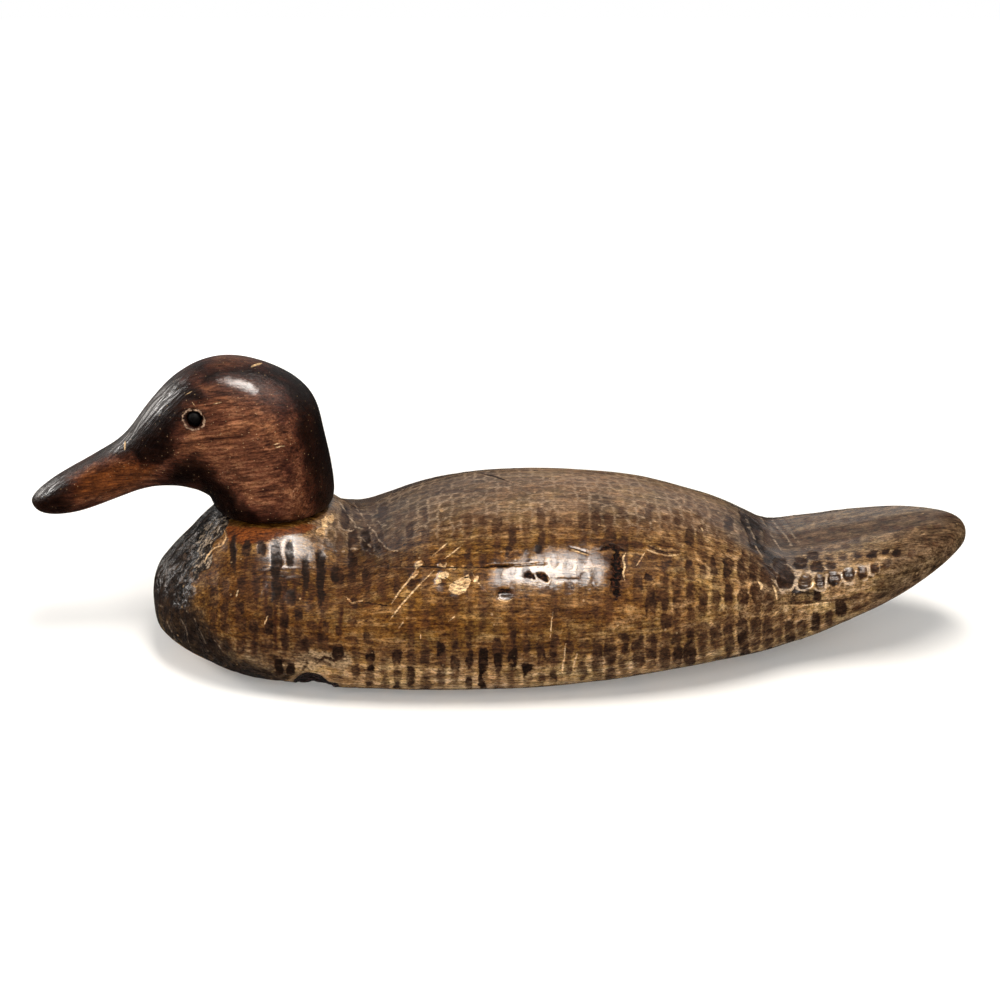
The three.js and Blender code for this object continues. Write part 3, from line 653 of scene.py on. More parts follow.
def bodyFields(points, normals):
    marks = bodyMarks
    near = ((eyePoint - points) * normals).sum(1) > 0  # the side that the camera sees
    mirrored = points.copy()
    mirrored[~near, 1] *= -1
    q = picturePoints(mirrored)
    angle = sectionAngle(points)
    flat = ease(0.6, -0.2, points[:, 2]) * (normals[:, 2] < -0.6)
    loose = wander(points, q, [(3.2, 1.6, 41)])
    wide = wander(points, q, [(11, 7, 43), (4, 3.5, 45)])

    depth, tone, cut = dabFields(points, q, loose, near)
    mark = softEdge(depth, marks["dabEdge"])
    height = -cut * ease(0.35, 0.85, mark)
    crack, bare = carveMarks(points, q, near, height)

    def area(name, at=wide):
        width, outlines = marks["areas"][name]
        return patchShare(at, outlines, width)

    # the foot of the breast takes the char colour as well, less strongly, so it is darker towards the bottom
    charred = np.maximum(area("charred"), 0.7 * area("breastFoot"))
    flaky = near * ease(-6, 2, lineDepth(wide, marks["flakedEdge"], 7.5))
    ashen = near * ease(-9, 9, lineDepth(wide, marks["ashAndSheenBand"], 13))
    chipped = area("chip", q) * near * (points[:, 2] < 9)
    behind = points[:, 0] + 0.35 * np.abs(points[:, 1])
    upper = ease(*marks["upperAngles"], angle) * ease(*marks["upperStart"], behind)
    # fine crazing of the old varnish on the breast, and tool ripples everywhere
    craze = np.abs(softNoise(points, 2.4, 11)) * charred * ease(40, 8, np.abs(q[:, 1] - 565))
    height -= 0.35 * ease(0.14, 0.0, craze) * charred * (charred > 0.5) * near
    height += ripples(points, marks["ripples"])
    ridge = ridgeField(points, q, loose, near)
    height += marks["ridgeHeight"] * ridge
    ridge *= ease(-0.6, 0.2, softNoise(points, 2.2, 13))
    height += 0.3 * flaky * softNoise(points, (1.6, 1.6, 2.4), 12) - 0.25 * flaky
    # fine rings inside the tail's cells, and a splintered chip
    cells = near & (q[:, 0] > 797) & (q[:, 1] > 560) & (q[:, 1] < 592)
    height += 0.09 * np.sin(q[:, 1] * 2.1 + softNoise(points, 5, 8) * 2) * ease(0.45, 0.7, mark) * cells
    height -= 0.5 * chipped * softNoise(points, 2.0, 9)
    height *= 1 - flat

    return {
        "mark": mark, "tone": tone * (1 - 0.5 * flat), "crack": softEdge(crack, marks["lineEdge"]),
        "bare": softEdge(bare, marks["lineEdge"]), "charred": charred, "ashen": ashen, "jagged": chipped,
        "flaky": flaky, "ridge": ridge, "shelf": area("shelf", loose),
        "stain": np.maximum(area("stained"), 1.3 * area("deepStained")), "tan": area("tanned", loose) * near,
        "plain": area("unpolished"), "upper": upper, "under": flat, "column": columnField(points, q),
        "dark": np.maximum(area("dark"), 0.95 * area("dusky")), "height": height,
    }


def bodyDetail(points, normals):
    f = bodyFields(points, normals)
    return np.stack([f["mark"] * f["tone"], f["crack"] * 1.2, f["bare"] * 1.2, f["height"] * 1.5, f["jagged"],
                     f["shelf"] * 0.5, f["ridge"]], 1)


def wrapCoordinates(points):
    # millimetres along the body and round it, so that a pattern keeps its scale on the back and sides
    start, step, stations, parts, turn = -150, 5, 70, 72, 2 * math.pi
    angle = np.radians(sectionAngle(points)) * np.where(points[:, 1] > 0, -1, 1)
    angle = np.where(points[:, 1] > 0, math.pi + angle, angle)
    along, about = (points[:, 0] - start) / step, (angle + math.pi / 2) / turn * parts
    i = np.clip(along.astype(int), 0, stations - 1)
    j = np.clip(about.astype(int), 0, parts - 1)
    radius = np.hypot(points[:, 1], points[:, 2] - sectionMiddle(points[:, 0]))
    total, hits = np.zeros((stations, parts)), np.zeros((stations, parts))
    np.add.at(total, (i, j), radius)
    np.add.at(hits, (i, j), 1)
    table = total / np.maximum(hits, 1)
    for row in table:
        known = row > 0
        if known.any():
            row[~known] = np.interp(np.where(~known)[0], np.where(known)[0], row[known])
    for _ in range(3):
        table[1:-1] = (table[:-2] + 2 * table[1:-1] + table[2:]) / 4
    slope = np.gradient(table, turn / parts, axis=1)
    arc = np.concatenate([np.zeros((stations, 1)), np.cumsum(np.hypot(table, slope) * turn / parts, 1)], 1)
    arc -= arc[:, parts // 2, None]
    # read the table smoothly between its rows and columns
    u = np.clip(along - 0.5, 0, stations - 1.001)
    v = np.clip(about, 0, parts - 0.001)
    i, j = u.astype(int), v.astype(int)
    s, t = u - i, v - j
    here, beyond = arc[i, j] * (1 - t) + arc[i, j + 1] * t, arc[i + 1, j] * (1 - t) + arc[i + 1, j + 1] * t
    return np.stack([points[:, 0], here * (1 - s) + beyond * s, np.zeros(len(points))], 1)


body = blankFrom("body", "decoy_body", bodyMarks["grid"])
refineWhere(body, bodyDetail, bodyMarks["passes"], bodyMarks["triangles"])
points, normals = meshArrays(body.data)
fields = bodyFields(points, normals)
fields["wrap"] = wrapCoordinates(points)
carved = points + normals * fields.pop("height")[:, None]
carved[:, 2] = np.clip(carved[:, 2], 0, None)
setCarved(body, carved, fields)


# The head

headMarks = {
    "grid": 0.0008, "passes": [(0.5, 0.05), (0.3, 0.07), (0.2, 0.1)], "triangles": 150000,
    "lineEdge": 4, "ripples": [((14, 9, 9), 6, 0.14), ((6, 4, 4), 7, 0.06)],
    # places and sizes of the eye in mm
    "eye": {"x": -121.1, "z": 104.2, "socket": 3.05, "cleared": 3.06, "ring": 3.85, "depth": 3.4},
    # darkened areas: outline, how softly they end
    "scorched": [
        ([(262, 350), (268, 374), (284, 392), (298, 420), (308, 470), (326, 505), (345, 512), (345, 380),
          (290, 345)], 11),
        ([(168, 390), (182, 378), (196, 371), (210, 370), (206, 362), (184, 366), (150, 380)], 6),
        ([(196, 378), (214, 371), (238, 369), (262, 371), (286, 382), (300, 396), (296, 404), (282, 394),
          (266, 384), (248, 376), (226, 375), (206, 382)], 5),
        ([(150, 392), (172, 376), (196, 384), (206, 400), (186, 408), (180, 425), (176, 446), (160, 448),
          (140, 452), (118, 458), (84, 464), (62, 478), (40, 486), (30, 480), (100, 440)], 7),
        ([(126, 440), (146, 430), (170, 432), (180, 446), (168, 460), (140, 462), (120, 452)], 5),
        ([(28, 478), (60, 470), (74, 484), (70, 498), (78, 520), (25, 520)], 8),
        ([(186, 458), (200, 462), (212, 474), (228, 486), (240, 500), (262, 514), (300, 518), (336, 506),
          (340, 530), (200, 530), (195, 488), (168, 486), (168, 466)], 8),
        ([(296, 400), (316, 420), (326, 470), (334, 505), (320, 512), (306, 470), (298, 440)], 8),
        ([(60, 512), (110, 506), (150, 492), (172, 484), (172, 500), (60, 522)], 5),
        ([(196, 470), (212, 482), (222, 500), (236, 518), (204, 524), (196, 500)], 5),
    ],
    "faintScorch": [
        (258, 398), (300, 398), (306, 440), (300, 478), (280, 486), (276, 452), (284, 430), (268, 416),
    ],
    "polishedSpot": [
        (216, 380), (224, 377), (238, 379), (250, 384), (258, 391), (254, 395), (240, 390), (226, 384),
    ],
    "sheenSpots": [
        [(112, 452), (132, 420), (150, 395), (176, 372), (200, 372), (196, 384), (172, 408), (150, 432),
         (132, 448)],
        [(28, 478), (56, 470), (66, 480), (52, 494), (30, 506)],
    ],
    "orangeSide": [
        (70, 486), (84, 474), (112, 464), (140, 458), (158, 464), (150, 478), (120, 490), (88, 500),
        (72, 500),
    ],
    # half width, points
    "nicks": [
        (0.8, [(125, 441), (124.5, 450)]), (1.0, [(251, 367), (256, 364.5), (262, 363)]),
        (0.45, [(275, 448), (280, 446.5), (285, 446)]), (0.4, [(273, 445), (280, 443)]),
        (0.3, [(213, 404), (222, 402)]), (0.25, [(192, 402), (195, 406)]), (0.25, [(185, 395), (192, 391)]),
    ],
    "almond": [
        (180.5, 417), (186, 410.5), (194, 408), (203, 411), (209, 419), (204, 427), (195, 431), (186, 427),
    ],
}


def headFields(points, normals):
    marks, eye = headMarks, headMarks["eye"]
    near = points[:, 1] < 0
    mirrored = points.copy()
    mirrored[~near, 1] *= -1
    q = picturePoints(mirrored)
    loose = wander(points, q, [((10, 5, 5), 5, 61)])
    scorch = 0.42 * ease(0, 1, patchShare(loose, [marks["faintScorch"]], 30))
    for outline, softness in marks["scorched"]:
        scorch = np.maximum(scorch, patchShare(loose, [outline], 3.4 * softness))
    nick = np.full(len(points), outside)
    for halfWidth, line in marks["nicks"]:
        nick[near] = np.maximum(nick[near], lineDepth(q[near], line, halfWidth))
    fromEye = np.hypot(points[:, 0] - eye["x"], points[:, 2] - eye["z"])
    oval = np.hypot((points[:, 0] - eye["x"]) / 1.12, points[:, 2] - eye["z"])
    wobble = softNoise(points, 1.1, 21) * 0.35
    lidRidge = np.exp(-((patchDepth(q, marks["almond"]) - 0.6) / 1.6) ** 2)
    height = ripples(points, marks["ripples"])
    height += 0.22 * lidRidge - 0.25 * ease(4.6, 3.2, fromEye)
    height -= 0.15 * ease(-0.8, 0.6, nick)
    return {
        # crown: the upward-facing top of the head, for a painted shading of the top
        "scorch": scorch, "crown": ease(0.35, 0.8, normals[:, 2]) * ease(96, 108, points[:, 2]),
        "orange": patchShare(q, [marks["orangeSide"]], 14),
        "polished": patchShare(loose * 0.4 + q * 0.6, [marks["polishedSpot"]], 7),
        "sheen": patchShare(loose, marks["sheenSpots"], 12), "nick": softEdge(nick, marks["lineEdge"]),
        "lids": patchShare(q, [marks["almond"]], 6),
        "ring": np.exp(-((oval + 1.3 * wobble - eye["ring"]) / 0.75) ** 2),
        "height": height, "socket": ease(eye["socket"] + 0.25, eye["socket"] - 0.15, fromEye + wobble),
    }


def headDetail(points, normals):
    f = headFields(points, normals)
    return np.stack([f["nick"], f["ring"] * 0.6, f["socket"] * 2, f["height"] * 2, f["scorch"] * 0.3], 1)


head = blankFrom("head", "decoy_head", headMarks["grid"], headMarks["eye"])
refineWhere(head, headDetail, headMarks["passes"], headMarks["triangles"])
points, normals = meshArrays(head.data)
fields = headFields(points, normals)
carved = points + normals * fields.pop("height")[:, None]
carved[:, 1] -= np.sign(points[:, 1]) * headMarks["eye"]["depth"] * fields["socket"]
setCarved(head, carved, fields)


# Node helpers. A value given to one is a number, a colour or another node's output, and a new node
# goes into the tree that the output belongs to.


def treeOf(*values):
    return next(value.id_data for value in values if isinstance(value, bpy.types.NodeSocket))


def give(tree, socket, value):
    if isinstance(value, bpy.types.NodeSocket):
        tree.links.new(value, socket)
    else:
        socket.default_value = value


def addNode(tree, kind, settings=None, **inputs):
    # an input is named by its label, or by its number as i0, i1
    node = tree.nodes.new("ShaderNode" + kind)
    for name, value in (settings or {}).items():
        setattr(node, name, value)
    for name, value in inputs.items():
        key = int(name[1:]) if name[1:].isdigit() else name.replace("_", " ")
        give(tree, node.inputs[key], value)
    return node


def rgb(red, green, blue):
    # a colour as the eye reads it (0 to 255), made linear
    linear = []
    for value in (red / 255, green / 255, blue / 255):
        linear.append(value / 12.92 if value < 10 / 255 else ((value + 0.055) / 1.055) ** 2.4)
    return (*linear, 1.0)


def fieldsOf(tree, names):
    # the carved fields of these names, as outputs
    found = {}
    for name in names.split():
        found[name] = addNode(tree, "Attribute", {"attribute_name": name}).outputs["Fac"]
    return found


def calc(operation, a, b=0.0, clamp=False):
    return addNode(treeOf(a, b), "Math", {"operation": operation, "use_clamp": clamp}, i0=a, i1=b).outputs[0]


def chain(operation, values):
    result = values[0]
    for value in values[1:]:
        result = calc(operation, result, value)
    return result


def times(*values):
    return chain("MULTIPLY", values)


def plus(*values):
    return chain("ADD", values)


def minus(*values):
    return chain("SUBTRACT", values)


def most(*values):
    return chain("MAXIMUM", values)


def vectorMath(operation, a, **others):
    return addNode(treeOf(a), "VectorMath", {"operation": operation}, i0=a, **others).outputs


def span(value, fromLow, fromHigh, low=0.0, high=1.0, smooth=False):
    # brings one range to another and stops at its ends
    kind = "SMOOTHSTEP" if smooth else "LINEAR"
    return addNode(treeOf(value), "MapRange", {"interpolation_type": kind}, Value=value, From_Min=fromLow,
                   From_Max=fromHigh, To_Min=low, To_Max=high).outputs[0]


def mix(share, a, b, kind="MIX"):
    settings = {"data_type": "RGBA", "blend_type": kind}
    return addNode(treeOf(share, a, b), "Mix", settings, i0=share, i6=a, i7=b).outputs[2]


def ramp(value, stops):
    node = addNode(treeOf(value), "ValToRGB", Fac=value)
    band = node.color_ramp
    while len(band.elements) < len(stops):
        band.elements.new(0.5)
    for element, (place, colour) in zip(band.elements, stops):
        element.position, element.color = place, colour
    return node.outputs["Color"]


def stretch(vector, scale, turn=(0, 0, 0)):
    return addNode(treeOf(vector), "Mapping", Vector=vector, Scale=scale, Rotation=turn).outputs[0]


def noiseNode(vector, scale=1.0, detail=3.0, rough=0.5, twist=0.0):
    return addNode(treeOf(vector), "TexNoise", Vector=vector, Scale=scale, Detail=detail, Roughness=rough,
                   Distortion=twist).outputs


def noise(vector, scale=1.0, detail=3.0, rough=0.55, twist=0.0):
    return noiseNode(vector, scale, detail, rough, twist)["Fac"]


def pattern(vector, scale, detail=3.0, rough=0.55, twist=0.0):
    return noise(stretch(vector, scale), 1.0, detail, rough, twist)


def bump(height, strength, distance):
    return addNode(treeOf(height), "Bump", Height=height, Strength=strength, Distance=distance).outputs[0]


def setShader(shader, **values):
    for name, value in values.items():
        give(shader.id_data, shader.inputs[name.replace("_", " ")], value)


def newGroup(name, inputs, outputs):
    tree = bpy.data.node_groups.new(name, "ShaderNodeTree")
    for label, default in inputs.items():
        kind = "Vector" if default is None else "Float"
        socket = tree.interface.new_socket(name=label, in_out="INPUT", socket_type="NodeSocket" + kind)
        if default is not None:
            socket.default_value = default
    for label in outputs:
        tree.interface.new_socket(name=label, in_out="OUTPUT", socket_type="NodeSocketFloat")
    return tree, tree.nodes.new("NodeGroupInput").outputs, tree.nodes.new("NodeGroupOutput").inputs


def useGroup(group, **inputs):
    tree = treeOf(*inputs.values())
    node = tree.nodes.new("ShaderNodeGroup")
    node.node_tree = group
    for name, value in inputs.items():
        give(tree, node.inputs[name.replace("_", " ")], value)
    return node.outputs


def newMaterial(name):
    material = bpy.data.materials.new(name)
    material.use_nodes = True
    tree = material.node_tree
    where = addNode(tree, "TexCoord").outputs["Object"]
    return material, tree, tree.nodes["Principled BSDF"], where


# Effects that both kinds of wood share


def makeRaggedEdge():
    # turns a soft field into a mark with a ragged edge
    inputs = {"Vector": None, "Field": 0.0, "Size": 900.0, "Ragged": 0.3, "Soft": 0.1}
    tree, given, out = newGroup("raggedEdge", inputs, ["Mask"])
    wandering = times(minus(noise(given["Vector"], given["Size"], 4.0, 0.65), 0.5), given["Ragged"])
    field = plus(given["Field"], wandering)
    edge = span(field, minus(0.5, given["Soft"]), plus(0.5, given["Soft"]), smooth=True)
    tree.links.new(edge, out["Mask"])
    return tree


def makeOldWood():
    # grain along the piece: long streaks, broad bands, short dark pores, and the height they leave
    tree, given, out = newGroup("oldWood", {"Vector": None, "Streak Scale": 1.0},
                                ["Streaks", "Bands", "Pores", "Mottle", "Grit", "Height"])
    scaled = vectorMath("SCALE", given["Vector"], Scale=given["Streak Scale"])[0]
    warp = pattern(scaled, (18, 40, 40), 2.0)
    bent = vectorMath("ADD", scaled, i1=addNode(tree, "CombineXYZ", Z=times(warp, 0.004)).outputs[0])[0]
    made = {
        "Streaks": pattern(bent, (40, 420, 420), 6.0, 0.68),
        "Bands": pattern(bent, (9, 60, 60), 3.0, 0.5),
        "Pores": span(pattern(bent, (260, 1500, 1500), 2.0, 0.6), 0.40, 0.28),
        "Mottle": pattern(scaled, (130, 210, 210), 7.0, 0.72),
        "Grit": pattern(scaled, (650, 1100, 1100), 4.0, 0.75),
    }
    height = minus(plus(times(made["Streaks"], 0.6), times(made["Mottle"], 0.8)), times(made["Pores"], 0.35))
    made["Height"] = plus(height, times(made["Grit"], 0.4))
    for name, socket in made.items():
        tree.links.new(socket, out[name])
    return tree


def makeFlecks():
    # small pale flecks and grit caught in the varnish
    tree, given, out = newGroup("flecks", {"Vector": None, "Size": 700.0, "Amount": 0.1}, ["Mask"])
    spots = addNode(tree, "TexVoronoi", {"feature": "F1"}, Vector=given["Vector"], Scale=given["Size"],
                    Randomness=1.0).outputs
    chance = addNode(tree, "TexWhiteNoise", {"noise_dimensions": "3D"}, Vector=spots["Color"])
    small = span(spots["Distance"], 0.32, 0.18)
    rare = calc("LESS_THAN", chance.outputs["Value"], given["Amount"])
    tree.links.new(times(small, rare), out["Mask"])
    return tree


raggedEdge, oldWood, flecks = makeRaggedEdge(), makeOldWood(), makeFlecks()


def ragged(where, field, size, amount, soft):
    return useGroup(raggedEdge, Vector=where, Field=field, Size=size, Ragged=amount, Soft=soft)["Mask"]


# Finish of the body

bodyFinish = {
    # how large, how ragged and how soft the edge of each mark is
    "edges": {
        "stain": (160, 1.1, 0.4), "tan": (420, 1.1, 0.2), "flaky": (420, 0.8, 0.15),
        "shelf": (500, 0.5, 0.16), "dark": (260, 1.0, 0.45), "mark": (760, 0.62, 0.15),
        "charred": (230, 1.0, 0.25), "ridge": (700, 0.7, 0.25), "jagged": (900, 0.5, 0.1),
        "bare": (1300, 0.3, 0.1), "crack": (1100, 0.2, 0.1),
    },
    "ochre": [(0.39, rgb(48, 23, 2)), (0.50, rgb(102, 69, 28)), (0.61, rgb(147, 113, 71))],
    "low": [(0.39, rgb(92, 64, 34)), (0.50, rgb(164, 132, 92)), (0.61, rgb(212, 184, 146))],
    "back": [(0.38, rgb(80, 60, 43)), (0.50, rgb(116, 91, 67)), (0.62, rgb(146, 118, 90))],
    "patches": [(0.38, (0.6, 0.54, 0.5, 1)), (0.47, (1.08, 0.98, 0.82, 1)), (0.55, (0.94, 0.94, 0.98, 1)),
                (0.64, (1.25, 1.22, 1.15, 1))],
    "hues": [(0.4, (0.84, 0.75, 0.72, 1)), (0.5, (1, 1, 1, 1)), (0.6, (1.0, 1.08, 0.86, 1))],
    "shelf": [(0.3, rgb(80, 38, 10)), (0.6, rgb(102, 53, 18))],
    "shaded": [(0.42, rgb(30, 19, 12)), (0.6, rgb(92, 71, 52))],
    "chip": [(0.44, rgb(10, 6, 4)), (0.62, rgb(54, 38, 34))],
    "bareWood": [(0.38, rgb(118, 80, 46)), (0.5, rgb(186, 152, 110)), (0.62, rgb(208, 178, 136))],
    "cracks": [(0.5, rgb(10, 6, 4)), (0.68, rgb(66, 34, 18))],
    "grit": [(0.41, (0.22, 0.18, 0.15, 1)), (0.5, (0.92, 0.92, 0.92, 1)), (0.59, (1.8, 1.75, 1.68, 1))],
    "dab": rgb(28, 16, 8), "dabPale": rgb(62, 36, 20), "column": rgb(58, 33, 16), "stain": rgb(48, 23, 9),
    "tan": rgb(150, 124, 92), "net": rgb(164, 140, 114), "cell": rgb(66, 46, 32), "charred": rgb(26, 16, 11),
    "ashSheen": rgb(76, 63, 54), "black": rgb(10, 6, 4), "flake": rgb(142, 124, 104), "ridge": rgb(182, 158, 132),
    "under": rgb(96, 72, 48), "fleck": rgb(186, 152, 110),
    # width and length of the cells on the back in mm
    "cellWide": 4.7, "cellLong": 7.4,
    "coatRoughness": 0.17, "coatIor": 1.5, "specular": 0.08, "relief": 0.0004,
}


def bodyGround(where, f, masks, wood, grain, upper):
    # ochre on the side, lighter at the foot and towards the tail, greyer on the back
    c = bodyFinish
    place = addNode(treeOf(where), "SeparateXYZ", Vector=where).outputs
    footShare = span(place["Z"], 0.026, 0.012)
    tailShare = span(place["X"], 0.045, 0.13, high=0.9)
    lowShare = times(most(footShare, tailShare), 0.85)
    colour = mix(upper, mix(lowShare, ramp(grain, c["ochre"]), ramp(grain, c["low"])), ramp(grain, c["back"]))
    patches = ramp(pattern(where, (38, 60, 60), 5.0, 0.65), c["patches"])
    colour = mix(span(tailShare, 0, 1, 0.85, 0.42), colour, patches, "MULTIPLY")
    hues = ramp(pattern(where, (55, 90, 110), 4.0, 0.6, 0.4), c["hues"])
    colour = mix(0.5, colour, hues, "MULTIPLY")
    columnShare = times(f["column"], span(wood["Mottle"], 0.62, 0.38, 0.22, 0.78))
    colour = mix(columnShare, colour, c["column"])
    colour = mix(times(masks["stain"], span(f["column"], 0, 1, 0.36)), colour, c["stain"])
    colour = mix(times(masks["tan"], 0.8), colour, c["tan"])
    return colour, columnShare


def backCells(where, f, wood):
    # rows of cells on the back, outlined where the ridges between the dabs are worn pale
    tree = treeOf(where)
    wrap = addNode(tree, "Attribute", {"attribute_name": "wrap"}).outputs["Vector"]
    centred = vectorMath("SUBTRACT", noiseNode(where, 160.0)["Color"], i1=(0.5, 0.5, 0.5))[0]
    swaying = vectorMath("ADD", wrap, i1=vectorMath("SCALE", centred, Scale=2.2)[0])[0]
    cellAt = stretch(swaying, (1 / bodyFinish["cellWide"], 1 / bodyFinish["cellLong"], 1))
    flat = {"feature": "DISTANCE_TO_EDGE", "voronoi_dimensions": "2D"}
    edge = addNode(tree, "TexVoronoi", flat, Vector=cellAt, Scale=1.0, Randomness=0.5).outputs["Distance"]
    lineMask = span(edge, 0.22, 0.03, smooth=True)
    coreMask = span(edge, 0.16, 0.34, smooth=True)
    patchy = span(noise(where, 60.0, 5.0, 0.65), 0.38, 0.62)
    along = addNode(tree, "SeparateXYZ", Vector=where).outputs["X"]
    onBack = times(span(f["upper"], 0.2, 0.72), span(along, 0.125, 0.095))
    worn = span(wood["Grit"], 0.38, 0.6, 0.25, 1.0)
    net = times(lineMask, patchy, worn, times(onBack, 0.66))
    core = times(coreMask, onBack, times(patchy, 0.5))
    return net, core, times(minus(lineMask, coreMask), times(onBack, 0.4))


def charBreast(where, f, masks, grain, colour):
    # crusted black varnish, with a grey band of ash and painted sheen down it, and flaked along its edge
    c = bodyFinish
    colour = mix(times(masks["charred"], span(grain, 0.4, 0.62, 1.0, 0.86)), colour, c["charred"])
    upright = pattern(where, (400, 400, 190), 5.0, 0.68)
    # the grey laid in streaks here is partly a painted sheen
    ashSheen = times(f["ashen"], span(upright, 0.52, 0.63, high=0.75))
    colour = mix(times(ashSheen, masks["charred"]), colour, c["ashSheen"])
    pitted = times(f["ashen"], span(upright, 0.53, 0.45))
    colour = mix(times(pitted, masks["charred"]), colour, c["black"])
    speckle = pattern(where, (520, 520, 330), 4.0, 0.7)
    flakes = span(plus(times(f["flaky"], 0.16), speckle), 0.65, 0.72)
    colour = mix(times(masks["flaky"], 0.95), colour, c["black"])
    return mix(times(flakes, f["flaky"]), colour, c["flake"]), pitted


def crackle(where):
    # distance from the cracks of crazed varnish
    swaying = vectorMath("SCALE", noiseNode(where, 420.0)["Color"], Scale=0.0011)[0]
    return addNode(treeOf(where), "TexVoronoi", {"feature": "DISTANCE_TO_EDGE"}, Scale=300.0,
                   Vector=vectorMath("ADD", where, i1=swaying)[0]).outputs["Distance"]


def makeBodyWood():
    material, tree, shader, where = newMaterial("body_wood")
    c = bodyFinish
    f = fieldsOf(tree, "upper column stain tan shelf dark mark tone charred ashen flaky ridge jagged under "
                       "bare crack plain")
    masks = {name: ragged(where, f[name], *edge) for name, edge in c["edges"].items()}
    wood = useGroup(oldWood, Vector=where, Streak_Scale=1.0)
    grain = plus(times(wood["Streaks"], 0.5), times(wood["Mottle"], 0.5))
    upper = span(plus(f["upper"], times(minus(wood["Bands"], 0.5), 0.9)), 0.15, 0.85, smooth=True)
    colour, columnShare = bodyGround(where, f, masks, wood, grain, upper)
    colour = mix(masks["shelf"], colour, ramp(wood["Streaks"], c["shelf"]))
    net, core, cellRelief = backCells(where, f, wood)
    colour = mix(core, colour, c["cell"])
    # painted shade: the darkened areas take the shade ramp
    colour = mix(times(masks["dark"], 0.84), colour, ramp(grain, c["shaded"]))
    colour = mix(net, colour, c["net"])

    burnt = times(f["tone"], span(wood["Mottle"], 0.36, 0.64, 1.25, 0.72))
    colour = mix(calc("MULTIPLY", masks["mark"], times(burnt, 1.15), True), colour, c["dabPale"])
    deepMark = times(masks["mark"], calc("MULTIPLY", minus(burnt, 0.5), 2.1, True))
    colour = mix(deepMark, colour, c["dab"])
    colour, pitted = charBreast(where, f, masks, grain, colour)
    # pale ridge crests and rims: partly wear, partly a painted highlight
    colour = mix(times(masks["ridge"], 0.8), colour, c["ridge"])
    colour = mix(masks["jagged"], colour, ramp(wood["Grit"], c["chip"]))
    colour = mix(times(f["under"], 0.6), colour, c["under"])
    colour = mix(times(wood["Pores"], 0.35), colour, c["dab"])
    fleckMask = useGroup(flecks, Vector=where, Size=520.0, Amount=0.02)["Mask"]
    colour = mix(times(fleckMask, 0.5), colour, c["fleck"])
    colour = mix(masks["bare"], colour, ramp(wood["Mottle"], c["bareWood"]))
    colour = mix(masks["crack"], colour, ramp(wood["Grit"], c["cracks"]))
    threads = pattern(where, (170, 1250, 1250), 5.0, 0.75)
    gritty = ramp(plus(times(wood["Grit"], 0.55), times(threads, 0.45)), c["grit"])
    colour = mix(span(upper, 0, 1, 0.95, 0.7), colour, gritty, "MULTIPLY")

    # the varnish is gone from bare wood, cracks, dabs and the back, and worn where the body is plain
    matte = times(plus(times(masks["mark"], f["tone"]), times(columnShare, 0.25)), 0.45)
    sooty = span(pattern(where, (170, 170, 60), 3.0, 0.6), 0.53, 0.45, high=0.88)
    plainWood = times(f["plain"], calc("SUBTRACT", 0.97, masks["charred"], True))
    dull = most(masks["bare"], masks["crack"], times(upper, 0.58), matte, times(deepMark, 0.92), plainWood,
                times(masks["shelf"], 0.7), times(sooty, masks["charred"]))
    relief = plus(minus(wood["Height"], times(masks["mark"], 0.4)), cellRelief)
    crazed = times(span(crackle(where), 0.22, 0.0), masks["charred"])
    relief = minus(relief, times(crazed, span(f["ashen"], 0, 1, 0.35, 1.3)))
    relief = plus(relief, times(masks["charred"], times(noise(where, 330.0, 4.0, 0.6), 2.0)))
    relief = minus(relief, times(pitted, 2.0))
    rough = span(plus(dull, times(wood["Mottle"], 0.35)), 0, 1, 0.34, 0.8)
    setShader(shader, Base_Color=colour, Roughness=rough, Coat_Weight=span(dull, 0, 1, 1.0, 0.0),
              Coat_Roughness=c["coatRoughness"], Coat_IOR=c["coatIor"],
              Specular_IOR_Level=c["specular"], Normal=bump(relief, 0.8, c["relief"]),
              Coat_Normal=bump(relief, span(masks["charred"], 0, 1, 0.2, 0.55), c["relief"]))
    return material


# Finish of the head

headFinish = {
    "red": [(0.38, rgb(42, 20, 11)), (0.50, rgb(90, 53, 34)), (0.62, rgb(132, 88, 60))],
    "patches": [(0.38, (0.5, 0.42, 0.44, 1)), (0.5, (1, 1, 1, 1)), (0.62, (1.18, 1.2, 1.05, 1))],
    "orange": [(0.4, rgb(48, 22, 7)), (0.6, rgb(102, 54, 20))],
    "singed": [(0.0, (1, 1, 1, 1)), (0.35, (0.5, 0.42, 0.46, 1)), (0.75, (0.13, 0.1, 0.1, 1)),
               (1.0, (0.05, 0.035, 0.03, 1))],
    "grit": [(0.41, (0.3, 0.25, 0.23, 1)), (0.5, (0.94, 0.94, 0.94, 1)), (0.59, (1.9, 1.85, 1.8, 1))],
    "black": rgb(12, 6, 4), "crown": rgb(56, 35, 28), "pale": rgb(178, 150, 112), "ring": rgb(152, 126, 104),
    "coatRoughness": 0.1, "coatIor": 1.5, "specular": 0.08, "relief": 0.0003,
}


